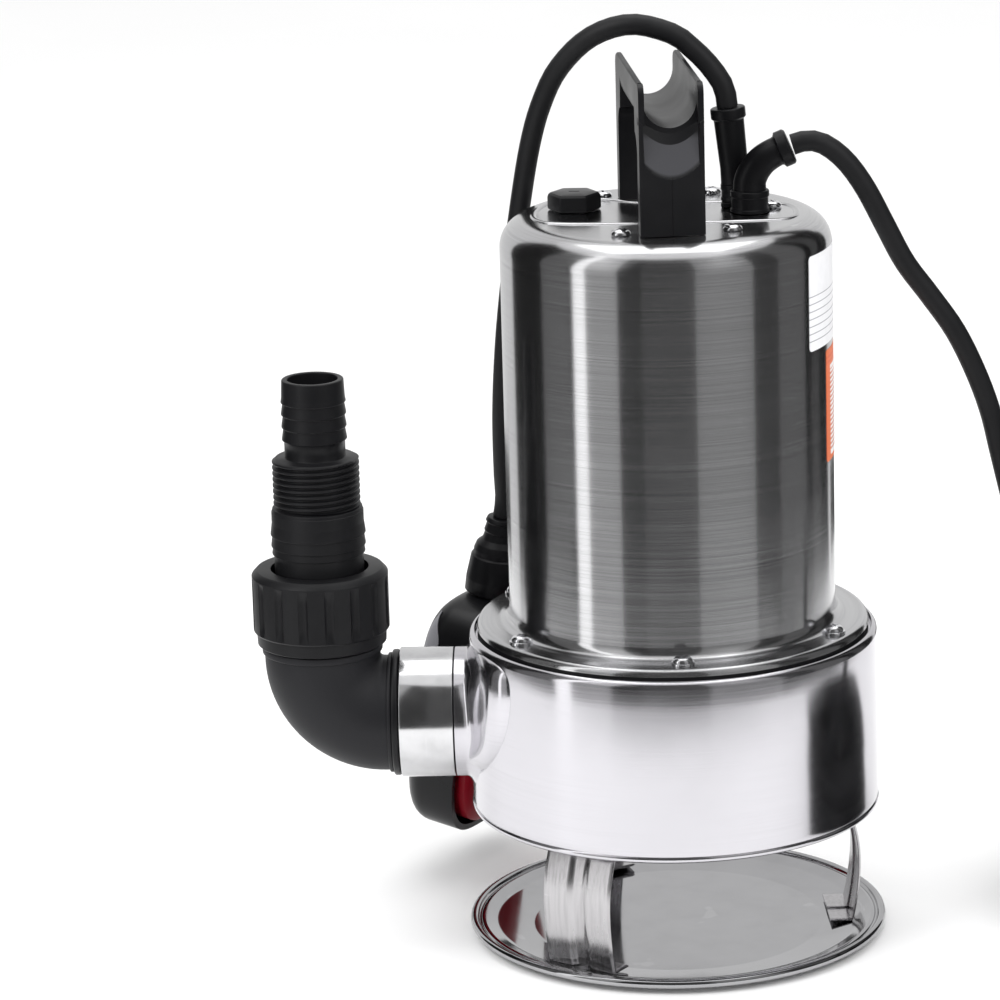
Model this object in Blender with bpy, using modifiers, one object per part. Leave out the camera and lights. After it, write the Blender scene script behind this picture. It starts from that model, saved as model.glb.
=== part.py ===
"""Submersible drainage pump with a float switch, a swivelling outlet elbow and a stepped hose adapter.

Metres, +Z up. The origin is the centre of the base plate's flat underside, on the pump's shaft axis.
The outlet points along -X. The motor sits above the pump casing, which stands on three legs and a base plate.
"""

import math

import bmesh
import bpy
from mathutils import Matrix, Vector

# ---------------------------------------------------------------- driving dimensions
GAP = 0.0003  # clearance kept between touching pieces
SHEET = 0.0010  # thickness of the pressed stainless sheet

PLATE_R = 0.0806  # base plate

CASING_R = 0.0780  # pump casing
CASING_TOP = 0.1213
CASING_BOTTOM = 0.0511
LEDGE_Z = 0.1191  # ledge inside the casing that the motor's flange is screwed to

MOTOR_R = 0.0622  # motor casing
MOTOR_TOP = 0.2806
MOTOR_EDGE = 0.0110  # radius of its rounded top edge
FLANGE_R = 0.0750

OUTLET_Z = 0.0873  # height of the outlet's axis
OUTLET_R = 0.0250
OUTLET_BORE = 0.0226
WELD_X = -0.0840
OUTLET_END_X = -0.1048

ELBOW_R = 0.0222
ELBOW_WALL = 0.0032
ELBOW_BEND = 0.0235
RISER_X = -0.1344  # vertical axis of the elbow, nut and adapter
ELBOW_TOP = 0.1340

NUT_R = 0.0261
NUT_BOTTOM = 0.1165
NUT_TOP = 0.1490
ADAPTER_TOP = 0.2202
ADAPTER_BORE = 0.0096

FLANGE_SCREW_RING = 0.0690
FLANGE_SCREW_Z = 0.1281
FLANGE_SCREW_ANGLES = (213, 273, 333, 33, 93, 153)
COVER_SCREW_RING = 0.0410
COVER_SCREW_ANGLES = (246.6, 307, 12, 64, 125)
SCREW_HOLE = 0.0025
FLANGE_SCREW_LENGTH = 0.0120
COVER_SCREW_LENGTH = 0.0150

VENT_XY = (-0.0340, 0.0120)
POWER_GLAND_XY = (0.0318, 0.0010)
FLOAT_GLAND_XY = (0.0269, 0.0142)
GLAND_TOP = 0.2890
GLAND_PLATE = 0.0016  # thickness of the diamond plate under the float cable's gland
GLAND_PLATE_TURN = 50

HANDLE_CENTRE = (-0.0014, -0.0040)
HANDLE_YAW = 6.5
HANDLE_LENGTH = 0.0780
HANDLE_WIDTH = 0.0240
HANDLE_TOP = 0.3370
HANDLE_LEG = 0.0070
GRIP_BOTTOM = 0.3175
TROUGH_R = 0.0098

LEG_WIDTH = 0.0300
LEG_ANGLES = {"leg_front": 237, "leg_right": 4, "leg_back": 121}

CABLE_R = 0.0040
FLOAT_SIZE = (0.0720, 0.0150, 0.0960)  # width, half thickness, height
FLOAT_WALL = 0.0022
BOOT_TOP = (-0.0665, 0.0742, 0.1445)  # where the float's cable enters its rubber boot
BOOT_LENGTH = 0.0320
FLOAT_TURN = 27  # of its flat face, about the vertical
FLOAT_LEAN = 9  # of its foot, away from the pump

FLOAT_CABLE_ROUTE = (
    (0.0241, 0.0142, 0.3182),
    (0.0237, 0.0142, 0.3222),
    (0.0222, 0.0144, 0.3270),
    (0.0173, 0.0150, 0.3341),
    (0.0109, 0.0156, 0.3406),
    (0.0036, 0.0162, 0.3459),
    (-0.0116, 0.0174, 0.3494),
    (-0.0268, 0.0205, 0.3443),
    (-0.0390, 0.0255, 0.3320),
    (-0.0460, 0.0300, 0.3177),
    (-0.0507, 0.0352, 0.3015),
    (-0.0550, 0.0415, 0.2786),
    (-0.0593, 0.0485, 0.2503),
    (-0.0630, 0.0560, 0.2200),
    (-0.0652, 0.0635, 0.1900),
    (-0.0656, 0.0705, 0.1640),
)
POWER_SLEEVE_ROUTE = (
    (0.0318, 0.0010, 0.2896),
    (0.0320, 0.0010, 0.2925),
    (0.0338, 0.0008, 0.2965),
    (0.0368, 0.0004, 0.3001),
    (0.0408, 0.0000, 0.3028),
    (0.0452, 0.0000, 0.3047),
)
POWER_CORD_ROUTE = (
    (0.0478, 0.0000, 0.3058),
    (0.0520, 0.0000, 0.3070),
    (0.0570, 0.0000, 0.3068),
    (0.0625, 0.0000, 0.3039),
    (0.0688, 0.0000, 0.2978),
    (0.0753, 0.0000, 0.2880),
    (0.0821, 0.0000, 0.2745),
    (0.0894, 0.0000, 0.2603),
    (0.0987, 0.0000, 0.2474),
    (0.1080, 0.0000, 0.2338),
    (0.1155, 0.0000, 0.2182),
    (0.1211, 0.0000, 0.2026),
    (0.1250, 0.0000, 0.1860),
    (0.1320, -0.0010, 0.1560),
    (0.1390, -0.0040, 0.1250),
    (0.1460, -0.0100, 0.0950),
    (0.1530, -0.0210, 0.0700),
    (0.1625, -0.0350, 0.0535),
    (0.1760, -0.0490, 0.0478),
)
COIL_CENTRE = (0.2280, 0.0000)
COIL_R = 0.0732  # at the middle of its turns
COIL_WIDTH = 0.0410
COIL_BASE = 0.0022
COIL_TOP = 0.0430
TIE_ANGLE = 300
TIE_WIDTH = 0.0080
CORD_TAIL_ROUTE = (
    (0.2134, -0.0140, 0.0178),
    (0.2085, -0.0140, 0.0177),
    (0.1995, -0.0122, 0.0140),
    (0.1910, -0.0078, 0.0088),
    (0.1850, -0.0020, 0.0062),
    (0.1821, 0.0025, 0.0052),
)
PLUG_BACK = (0.2139, -0.0140, 0.0178)  # the plug lies in the middle of the coil, its pins along +X
PLUG_LENGTH = 0.0400

STEPS = 24  # facets round the large turned pieces


# ---------------------------------------------------------------- helpers
def clear_scene():
    for obj in list(bpy.data.objects):
        bpy.data.objects.remove(obj, do_unlink=True)


def collection(name):
    made = bpy.data.collections.new(name)
    bpy.context.scene.collection.children.link(made)
    return made


def material(name, colour, roughness, metallic=0.0):
    made = bpy.data.materials.new(name)
    made.use_nodes = True
    shader = made.node_tree.nodes["Principled BSDF"]
    shader.inputs["Base Color"].default_value = (*colour, 1.0)
    shader.inputs["Roughness"].default_value = roughness
    shader.inputs["Metallic"].default_value = metallic
    return made


def place(name, mesh, surface, matrix=None):
    """The mesh as a named object of the pump."""
    obj = bpy.data.objects.new(name, mesh)
    obj.data.materials.append(surface)
    obj.matrix_world = matrix or Matrix.Identity(4)
    PARTS.objects.link(obj)
    return obj


def as_cutter(obj):
    PARTS.objects.unlink(obj)
    CUTTERS.objects.link(obj)
    obj.hide_render = True
    obj.display_type = "WIRE"
    return obj


def along(direction, origin, roll=0.0):
    """A matrix whose Z lies along direction, at origin."""
    turn = Vector(direction).normalized().to_track_quat("Z", "Y").to_matrix().to_4x4()
    return Matrix.Translation(origin) @ turn @ Matrix.Rotation(roll, 4, "Z")


def polar(radius, degrees, z=0.0):
    angle = math.radians(degrees)
    return Vector((radius * math.cos(angle), radius * math.sin(angle), z))


def arc(centre, radius, start, end, count):
    """Points on an arc in a profile's plane, from one angle in degrees to another."""
    angles = [math.radians(start + (end - start) * n / (count - 1)) for n in range(count)]
    return [(centre[0] + radius * math.cos(a), centre[1] + radius * math.sin(a)) for a in angles]


def turned(name, profile, surface, matrix=None, steps=STEPS, ring=True):
    """A profile of (radius, height) turned about Z. A ring's is closed, any other ends on the axis."""
    mesh = bpy.data.meshes.new(name)
    edges = [(n, n + 1) for n in range(len(profile) - 1)]
    if ring:
        edges.append((len(profile) - 1, 0))
    mesh.from_pydata([(r, 0.0, z) for r, z in profile], edges, [])
    obj = place(name, mesh, surface, matrix)
    screw = obj.modifiers.new("Turn", "SCREW")
    screw.steps = screw.render_steps = steps
    screw.use_merge_vertices = True
    screw.merge_threshold = 0.00001
    return obj


def rod(name, radius, bottom, top, surface, matrix=None, steps=STEPS):
    profile = [(0, top), (radius, top), (radius, bottom), (0, bottom)]
    return turned(name, profile, surface, matrix, steps, ring=False)


def washer(name, inner, outer, bottom, top, surface, matrix=None, steps=STEPS):
    profile = [(inner, top), (outer, top), (outer, bottom), (inner, bottom)]
    return turned(name, profile, surface, matrix, steps)


def box(name, size, centre, surface, matrix=None):
    mesh = bpy.data.meshes.new(name)
    shape = bmesh.new()
    bmesh.ops.create_cube(shape, size=1.0)
    bmesh.ops.scale(shape, vec=size, verts=shape.verts)
    bmesh.ops.translate(shape, vec=centre, verts=shape.verts)
    shape.to_mesh(mesh)
    shape.free()
    return place(name, mesh, surface, matrix)


def mesh_of_curve(curve, name, surface, matrix=None):
    """A curve made a closed mesh, so that it can be cut or joined."""
    source = bpy.data.objects.new(name + "_curve", curve)
    PARTS.objects.link(source)
    bpy.context.view_layer.update()
    graph = bpy.context.evaluated_depsgraph_get()
    mesh = bpy.data.meshes.new_from_object(source.evaluated_get(graph))
    bpy.data.objects.remove(source, do_unlink=True)
    shape = bmesh.new()
    shape.from_mesh(mesh)
    bmesh.ops.remove_doubles(shape, verts=shape.verts, dist=0.00001)
    shape.to_mesh(mesh)
    shape.free()
    mesh.name = name
    mesh.materials.clear()
    return place(name, mesh, surface, matrix)


def extruded(name, outline, thickness, surface, matrix=None, hole=()):
    """A flat outline in the XY plane, extruded equally to both sides, with a hole if one is given."""
    curve = bpy.data.curves.new(name, "CURVE")
    curve.dimensions = "2D"
    curve.fill_mode = "BOTH"
    curve.extrude = thickness / 2
    for loop in filter(None, (outline, hole)):
        spline = curve.splines.new("POLY")
        spline.points.add(len(loop) - 1)
        for point, (x, y) in zip(spline.points, loop):
            point.co = (x, y, 0.0, 1.0)
        spline.use_cyclic_u = True
    return mesh_of_curve(curve, name, surface, matrix)


def smooth_path(route, spacing):
    """Points at even steps along a smooth curve through the route's own points."""
    knots = [Vector(p) for p in route]
    knots = [2 * knots[0] - knots[1], *knots, 2 * knots[-1] - knots[-2]]
    fine = []
    for a, b, c, d in zip(knots, knots[1:], knots[2:], knots[3:]):
        for n in range(16):
            t = n / 16
            bent = (2 * a - 5 * b + 4 * c - d) * t**2 + (3 * b - a - 3 * c + d) * t**3
            fine.append(0.5 * (2 * b + (c - a) * t + bent))
    fine.append(knots[-2])
    lengths = [0.0]
    for a, b in zip(fine, fine[1:]):
        lengths.append(lengths[-1] + (b - a).length)
    count = max(2, round(lengths[-1] / spacing))
    points = []
    at = 0
    for n in range(count + 1):
        want = lengths[-1] * n / count
        while at < len(fine) - 2 and lengths[at + 1] < want:
            at += 1
        share = (want - lengths[at]) / (lengths[at + 1] - lengths[at])
        points.append(fine[at].lerp(fine[at + 1], min(1.0, share)))
    return points


def tube_curve(name, points, radius, resolution):
    curve = bpy.data.curves.new(name, "CURVE")
    curve.dimensions = "3D"
    curve.bevel_depth = radius
    curve.bevel_resolution = resolution
    curve.use_fill_caps = True
    spline = curve.splines.new("POLY")
    spline.points.add(len(points) - 1)
    for knot, point in zip(spline.points, points):
        knot.co = (*point, 1.0)
    return curve


def tube(name, route, radius, surface, spacing=0.0100, resolution=2):
    curve = tube_curve(name, smooth_path(route, spacing), radius, resolution)
    obj = bpy.data.objects.new(name, curve)
    curve.materials.append(surface)
    PARTS.objects.link(obj)
    return obj


def boolean(obj, other, operation="DIFFERENCE"):
    modifier = obj.modifiers.new(operation.title(), "BOOLEAN")
    modifier.operation = operation
    modifier.object = other
    modifier.solver = "EXACT"


def cut(obj, *cutters):
    for cutter in cutters:
        boolean(obj, cutter)


def lofted(name, rings, surface, matrix):
    """A closed skin through rings that all have the same number of points, with a face over each end."""
    count = len(rings[0])
    faces = [tuple(range(count))[::-1]]
    for ring in range(len(rings) - 1):
        low = ring * count
        for n in range(count):
            after = (n + 1) % count
            faces.append((low + n, low + after, low + count + after, low + count + n))
    last = (len(rings) - 1) * count
    faces.append(tuple(range(last, last + count)))
    mesh = bpy.data.meshes.new(name)
    mesh.from_pydata([p for ring in rings for p in ring], [], faces)
    shape = bmesh.new()
    shape.from_mesh(mesh)
    bmesh.ops.recalc_face_normals(shape, faces=shape.faces)
    shape.to_mesh(mesh)
    shape.free()
    return place(name, mesh, surface, matrix)


# ---------------------------------------------------------------- base and pump casing
def base_plate():
    profile = [
        (0, 0.0010), (0.0560, 0.0010), (0.0680, 0.0022), (0.0735, 0.0040), (0.0758, 0.0047),
        (0.0770, 0.0041), (0.0781, 0.0047), (0.0795, 0.0056), (PLATE_R, 0.0045), (0.0803, 0.0030),
        (0.0790, 0.0026), (0.0737, 0.0028), (0.0682, 0.0011), (0.0562, 0), (0, 0),
    ]
    return turned("base_plate", profile, STAINLESS, ring=False)


def leg_outline():
    """The leg's strip seen from its edge: distance from the shaft's axis against height."""
    middle = [
        (0.0530, 0.0514), (0.0605, 0.0514), (0.0640, 0.0495), (0.0668, 0.0440), (0.0688, 0.0360),
        (0.0695, 0.0270), (0.0688, 0.0160), (0.0668, 0.0042), (0.0655, 0.0032), (0.0580, 0.0032),
    ]
    outer = []
    inner = []
    for n, (r, z) in enumerate(middle):
        before = middle[max(n - 1, 0)]
        after = middle[min(n + 1, len(middle) - 1)]
        run = Vector((after[0] - before[0], after[1] - before[1])).normalized()
        aside = Vector((-run.y, run.x)) * SHEET / 2
        outer.append((r + aside.x, z + aside.y))
        inner.append((r - aside.x, z - aside.y))
    return outer + inner[::-1]


def legs():
    for name, degrees in LEG_ANGLES.items():
        upright = Matrix.Rotation(math.radians(degrees), 4, "Z") @ Matrix.Rotation(math.radians(90), 4, "X")
        extruded(name, leg_outline(), LEG_WIDTH, STAINLESS, upright)


def suction_plate():
    profile = [
        (0.0190, 0.0500), (0.0215, 0.0533), (0.0240, 0.0542), (0.0765, 0.0542), (0.0765, 0.0530),
        (0.0248, 0.0530), (0.0226, 0.0520), (0.0205, 0.0492),
    ]
    return turned("suction_plate", profile, STAINLESS)


def towards_outlet():
    """A frame on the outlet's axis whose Z points along -X."""
    return Matrix.Translation((0, 0, OUTLET_Z)) @ Matrix.Rotation(math.radians(-90), 4, "Y")


def flange_screw_holes():
    drill = []
    for n, degrees in enumerate(FLANGE_SCREW_ANGLES):
        at = Matrix.Translation(polar(FLANGE_SCREW_RING, degrees))
        drill.append(as_cutter(rod(f"cut_flange_screw_{n}", SCREW_HOLE, 0.1140, 0.1300, STAINLESS, at, 8)))
    return drill


def pump_casing(drill):
    profile = [
        (0.0640, LEDGE_Z), (0.0757, LEDGE_Z), (0.0757, 0.1207), (0.0762, CASING_TOP), (0.0770, 0.1210),
        (0.0777, 0.1198), (CASING_R, 0.1180), (CASING_R, 0.0545), (0.0784, 0.0532), (0.0784, 0.0517),
        (CASING_R, CASING_BOTTOM), (0.0769, CASING_BOTTOM), (0.0769, 0.1162), (0.0765, 0.1178),
        (0.0758, 0.1181), (0.0640, 0.1181),
    ]
    casing = turned("pump_casing", profile, STAINLESS)
    bulge_profile = [
        (0, -WELD_X), (0.0244, -WELD_X), (0.0250, 0.0836), (0.0254, 0.0822), (0.0268, 0.0804),
        (0.0288, 0.0786), (0.0301, 0.0772), (0.0296, 0.0740), (0.0296, 0.0700), (0, 0.0700),
    ]
    bulge = as_cutter(turned("join_bulge", bulge_profile, STAINLESS, towards_outlet(), STEPS, ring=False))
    hollow_profile = [
        (0, 0.1176), (0.0755, 0.1176), (0.0766, 0.1160), (0.0768, 0.1150), (0.0768, 0.0400), (0, 0.0400),
    ]
    hollow = as_cutter(turned("cut_casing_hollow", hollow_profile, STAINLESS, ring=False))
    bore = as_cutter(rod("cut_outlet_bore", OUTLET_BORE, 0.0600, 0.0900, STAINLESS, towards_outlet()))
    boolean(casing, bulge, "UNION")
    cut(casing, hollow, bore, *drill)
    return casing


def outlet_socket():
    start = -WELD_X + GAP
    end = -OUTLET_END_X
    washer("outlet_socket", OUTLET_BORE, OUTLET_R, start, end, STAINLESS, towards_outlet())


def casing_gasket():
    washer("casing_gasket", 0.0720, 0.0752, LEDGE_Z + GAP, 0.1207, RUBBER)


# ---------------------------------------------------------------- motor
def motor_casing(drill, top_holes):
    corner = MOTOR_R - MOTOR_EDGE
    profile = [(0, MOTOR_TOP)]
    profile += arc((corner, MOTOR_TOP - MOTOR_EDGE), MOTOR_EDGE, 90, 0, 5)
    profile += [
        (MOTOR_R, 0.1335), (0.0626, 0.1308), (0.0636, 0.1288), (0.0650, 0.1277), (0.0712, 0.1269),
        (0.0731, 0.1256), (0.0744, 0.1236), (FLANGE_R, 0.1213), (0.0741, 0.1215),
        (0.0722, 0.1246), (0.0709, 0.1258), (0.0643, 0.1267), (0.0616, 0.1305), (MOTOR_R - SHEET, 0.1335),
    ]
    profile += arc((corner, MOTOR_TOP - MOTOR_EDGE), MOTOR_EDGE - SHEET, 0, 90, 4)
    profile += [(0, MOTOR_TOP - SHEET)]
    casing = turned("motor_casing", profile, STAINLESS, ring=False)
    cut(casing, *drill, *top_holes)


def seal_plate():
    """The plate that closes the motor, holds the lower bearing and carries the shaft's seals."""
    profile = [
        (0.0132, 0.1480), (0.0180, 0.1480), (0.0190, 0.1370), (0.0600, 0.1340), (0.0606, 0.1330),
        (0.0606, 0.1262), (0.0656, 0.1254), (0.0656, 0.1196), (0.0630, 0.1194), (0.0630, 0.1160),
        (0.0110, 0.1160), (0.0110, 0.1350), (0.0132, 0.1362),
    ]
    turned("seal_plate", profile, CAST, steps=24)


def upper_bracket(top_holes):
    profile = [
        (0.0113, 0.2540), (0.0165, 0.2540), (0.0165, 0.2490), (0.0375, 0.2490), (0.0375, 0.2792),
        (0.0445, 0.2792), (0.0445, 0.2490), (0.0605, 0.2490), (0.0605, 0.2440), (0.0165, 0.2440),
        (0.0165, 0.2400), (0.0113, 0.2400),
    ]
    bracket = turned("upper_bracket", profile, CAST, steps=24)
    cut(bracket, *top_holes)


def stator():
    washer("stator_core", 0.0314, 0.0605, 0.1650, 0.2280, CAST, steps=24)
    ends = {"winding_lower": (0.1500, 0.1647), "winding_upper": (0.2283, 0.2430)}
    for name, (bottom, top) in ends.items():
        bulge = 0.0040
        profile = [
            (0.0345, top), (0.0520, top), (0.0560, top - bulge), (0.0560, bottom + bulge),
            (0.0520, bottom), (0.0345, bottom),
        ]
        turned(name, profile, COPPER, steps=18)


def bearings_and_seals():
    washer("upper_bearing", 0.0063, 0.0110, 0.2405, 0.2495, STAINLESS, steps=14)
    washer("lower_bearing", 0.0073, 0.0129, 0.1370, 0.1475, STAINLESS, steps=14)
    washer("lip_seal", 0.0066, 0.0107, 0.1285, 0.1345, RUBBER, steps=14)
    washer("seal_seat", 0.0066, 0.0107, 0.1165, 0.1220, CERAMIC, steps=14)


def capacitor():
    rod("capacitor", 0.0112, -0.0220, 0.0220, GREY_PLASTIC, along((1, 0, 0), (0, -0.0140, 0.2667)), 16)


# ---------------------------------------------------------------- rotor
def rotor():
    shaft_profile = [
        (0, 0.2520), (0.0055, 0.2520), (0.0060, 0.2510), (0.0060, 0.2390), (0.0070, 0.2385),
        (0.0070, 0.1365), (0.0063, 0.1360), (0.0063, 0.0800), (0.0045, 0.0795), (0.0045, 0.0640), (0, 0.0640),
    ]
    turned("shaft", shaft_profile, STAINLESS, steps=16, ring=False)
    washer("rotor_core", 0.0073, 0.0308, 0.1640, 0.2290, CAST, steps=24)
    washer("seal_ring", 0.0066, 0.0104, 0.1060, 0.1162, RUBBER, steps=16)


def impeller():
    """An open impeller: a disc with a hub, and curved blades below it."""
    profile = [
        (0.0048, 0.0790), (0.0110, 0.0790), (0.0130, 0.0765), (0.0450, 0.0750), (0.0450, 0.0732),
        (0.0120, 0.0732), (0.0100, 0.0700), (0.0100, 0.0695), (0.0048, 0.0695),
    ]
    disc = turned("impeller", profile, GREY_PLASTIC, steps=24)
    blades = 6
    for n in range(blades):
        middle = [polar(0.0120 + 0.0325 * t, 360 * n / blades + 48 * t) for t in (0, 0.33, 0.66, 1)]
        outline = []
        for side in (1, -1):
            edge = []
            for at, point in enumerate(middle):
                run = (middle[min(at + 1, 3)] - middle[max(at - 1, 0)]).normalized()
                edge.append((point.x - side * run.y * 0.0010, point.y + side * run.x * 0.0010))
            outline += edge[::side]
        lift = Matrix.Translation((0, 0, 0.0665))
        boolean(disc, as_cutter(extruded(f"join_blade_{n}", outline, 0.0140, GREY_PLASTIC, lift)), "UNION")


def impeller_nut():
    nut = rod("impeller_nut", 0.0080, 0.0640, 0.0692, STAINLESS, steps=6)
    cut(nut, as_cutter(rod("cut_impeller_nut", 0.0048, 0.0600, 0.0720, STAINLESS, steps=12)))


# ---------------------------------------------------------------- top of the motor
def screw(name, matrix, length):
    """A pan-head screw whose head rests on the matrix's XY plane."""
    profile = [
        (0, 0.0026), (0.0026, 0.0022), (0.0037, 0.0010), (0.0037, 0), (0.0020, 0), (0.0020, -length),
        (0, -length),
    ]
    turned(name, profile, CHROME, matrix, 8, ring=False)


def screws():
    for n, degrees in enumerate(FLANGE_SCREW_ANGLES, 1):
        seat = Matrix.Translation(polar(FLANGE_SCREW_RING, degrees, FLANGE_SCREW_Z))
        screw(f"flange_screw_{n}", seat, FLANGE_SCREW_LENGTH)
    for n, degrees in enumerate(COVER_SCREW_ANGLES, 1):
        seat = Matrix.Translation(polar(COVER_SCREW_RING, degrees, MOTOR_TOP + GAP))
        screw(f"cover_screw_{n}", seat, COVER_SCREW_LENGTH)


def cover_holes():
    bottom = MOTOR_TOP - 0.0165
    top = MOTOR_TOP + 0.0050
    holes = []
    for n, degrees in enumerate(COVER_SCREW_ANGLES):
        at = Matrix.Translation(polar(COVER_SCREW_RING, degrees))
        holes.append(as_cutter(rod(f"cut_cover_screw_{n}", SCREW_HOLE, bottom, top, STAINLESS, at, 8)))
    wide = {
        "cut_vent": (VENT_XY, 0.0046),
        "cut_power": (POWER_GLAND_XY, 0.0060),
        "cut_float": (FLOAT_GLAND_XY, 0.0049),
    }
    for name, (xy, radius) in wide.items():
        at = Matrix.Translation((*xy, 0))
        holes.append(as_cutter(rod(name, radius, bottom + 0.0060, top, STAINLESS, at, 16)))
    return holes


def vent_plug():
    sits = MOTOR_TOP + GAP
    profile = [
        (0, sits + 0.0066), (0.0090, sits + 0.0066), (0.0106, sits + 0.0052), (0.0106, sits + 0.0008),
        (0.0100, sits), (0.0042, sits), (0.0042, sits - 0.0080), (0, sits - 0.0080),
    ]
    turned("vent_plug", profile, BLACK_PLASTIC, Matrix.Translation((*VENT_XY, 0)), 8, ring=False)


def glands():
    sits = MOTOR_TOP + GAP
    low = sits - 0.0055
    power_profile = [
        (0, GLAND_TOP), (0.0068, GLAND_TOP), (0.0073, GLAND_TOP - 0.0006), (0.0073, sits), (0.0056, sits),
        (0.0056, low), (0, low),
    ]
    turned("power_gland", power_profile, RUBBER, Matrix.Translation((*POWER_GLAND_XY, 0)), 14, ring=False)
    plate_top = sits + GLAND_PLATE
    diamond = [(0.0092, 0), (0, 0.0068), (-0.0092, 0), (0, -0.0068)]
    turn = Matrix.Rotation(math.radians(GLAND_PLATE_TURN), 4, "Z")
    lift = Matrix.Translation((*FLOAT_GLAND_XY, (sits + plate_top) / 2)) @ turn
    plate = extruded("gland_plate", diamond, GLAND_PLATE, RUBBER, lift)
    cut(plate, bpy.data.objects["cut_float"])
    base = plate_top + GAP
    float_profile = [
        (0, GLAND_TOP), (0.0052, GLAND_TOP), (0.0058, GLAND_TOP - 0.0006), (0.0058, base), (0.0046, base),
        (0.0046, low), (0, low),
    ]
    turned("float_gland", float_profile, RUBBER, Matrix.Translation((*FLOAT_GLAND_XY, 0)), 14, ring=False)


def float_sleeve():
    start = Vector((*FLOAT_GLAND_XY, GLAND_TOP + GAP))
    end = Vector(FLOAT_CABLE_ROUTE[0])
    height = (end - start).length - GAP
    profile = [
        (0, height), (0.0062, height), (0.0066, height - 0.0006), (0.0066, height - 0.0036),
        (0.0058, height - 0.0040), (0.0054, 0.0004), (0, 0.0004),
    ]
    turned("float_sleeve", profile, RUBBER, along(end - start, start), 16, ring=False)


def power_sleeve():
    """A bent rubber sleeve with a collar round its mouth."""
    points = smooth_path(POWER_SLEEVE_ROUTE, 0.0030)
    sleeve = mesh_of_curve(tube_curve("power_sleeve", points, 0.0056, 3), "power_sleeve", RUBBER)
    mouth = points[-1]
    run = mouth - points[-2]
    collar_profile = [(0, 0.0020), (0.0064, 0.0020), (0.0069, 0.0015), (0.0069, -0.0020), (0, -0.0020)]
    collar = turned("join_power_collar", collar_profile, RUBBER, along(run, mouth), 16, ring=False)
    boolean(sleeve, as_cutter(collar), "UNION")


def handle():
    """Two legs and a gutter-shaped grip, pressed through by a finger opening."""
    half = HANDLE_LENGTH / 2
    foot = MOTOR_TOP + GAP
    inner = half - HANDLE_LEG
    soft = 0.0080
    outline = [(-half, foot), (-half, HANDLE_TOP - 0.0120), (-half + 0.0010, HANDLE_TOP)]
    outline += [(half - 0.0010, HANDLE_TOP), (half, HANDLE_TOP - 0.0120), (half, foot), (inner, foot)]
    outline += arc((inner - soft, GRIP_BOTTOM - soft), soft, 0, 90, 5)
    outline += arc((-inner + soft, GRIP_BOTTOM - soft), soft, 90, 180, 5)
    outline += [(-inner, foot)]
    turn = Matrix.Rotation(math.radians(HANDLE_YAW), 4, "Z")
    stand = Matrix.Translation((*HANDLE_CENTRE, 0)) @ turn
    side_on = stand @ Matrix.Rotation(math.radians(90), 4, "Z") @ Matrix.Rotation(math.radians(90), 4, "X")
    arch = extruded("handle", outline, HANDLE_WIDTH, BLACK_PLASTIC, side_on)
    centre_z = GRIP_BOTTOM + 0.0025 + TROUGH_R
    over = HANDLE_TOP + 0.0050
    gutter = arc((0, centre_z), TROUGH_R, 180, 360, 9) + [(TROUGH_R, over), (-TROUGH_R, over)]
    end_on = stand @ Matrix.Rotation(math.radians(90), 4, "X")
    cut(arch, as_cutter(extruded("cut_trough", gutter, HANDLE_LENGTH + 0.0200, BLACK_PLASTIC, end_on)))


# ---------------------------------------------------------------- outlet elbow and hose adapter
def elbow(swivel):
    """A bent pipe: out of the socket along -X, then up."""
    corner = (RISER_X + ELBOW_BEND, OUTLET_Z + ELBOW_BEND)
    bend = [(x, 0.0, z) for x, z in arc(corner, ELBOW_BEND, 270, 180, 7)]
    points = [(-0.0870, 0.0, OUTLET_Z), *bend, (RISER_X, 0.0, ELBOW_TOP)]
    curve = tube_curve("elbow", points, ELBOW_R, 6)
    curve.use_fill_caps = False
    pipe = mesh_of_curve(curve, "elbow", BLACK_PLASTIC)
    shell = pipe.modifiers.new("Wall", "SOLIDIFY")
    shell.thickness = ELBOW_WALL
    shell.offset = -1.0
    axis = towards_outlet()
    seal = washer("elbow_seal", ELBOW_R + GAP, 0.0243, 0.1051, 0.1078, RUBBER, axis, 20)
    riser = Matrix.Translation((RISER_X, 0, 0))
    gasket = washer("adapter_gasket", 0.0150, 0.0220, 0.1343, 0.1355, RUBBER, riser, 18)
    for piece in (pipe, seal, gasket):
        ride(piece, swivel)


def union_nut(turning):
    profile = [
        (0.0188, NUT_TOP), (0.0240, NUT_TOP), (NUT_R, NUT_TOP - 0.0022), (NUT_R, NUT_BOTTOM + 0.0040),
        (0.0249, NUT_BOTTOM + 0.0030), (0.0246, NUT_BOTTOM), (ELBOW_R + 0.0004, NUT_BOTTOM),
        (ELBOW_R + 0.0004, 0.1401), (0.0188, 0.1401),
    ]
    ride(turned("union_nut", profile, BLACK_PLASTIC, Matrix.Translation((RISER_X, 0, 0)), 24), turning)


def barbs(top, bottom, count, root, peak):
    """Saw-tooth rings that widen downwards, as on a hose tail."""
    pitch = (top - bottom) / count
    points = []
    for n in range(count):
        high = top - n * pitch
        points += [(root, high), (peak, high - pitch + 0.0002)]
    return points


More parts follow.
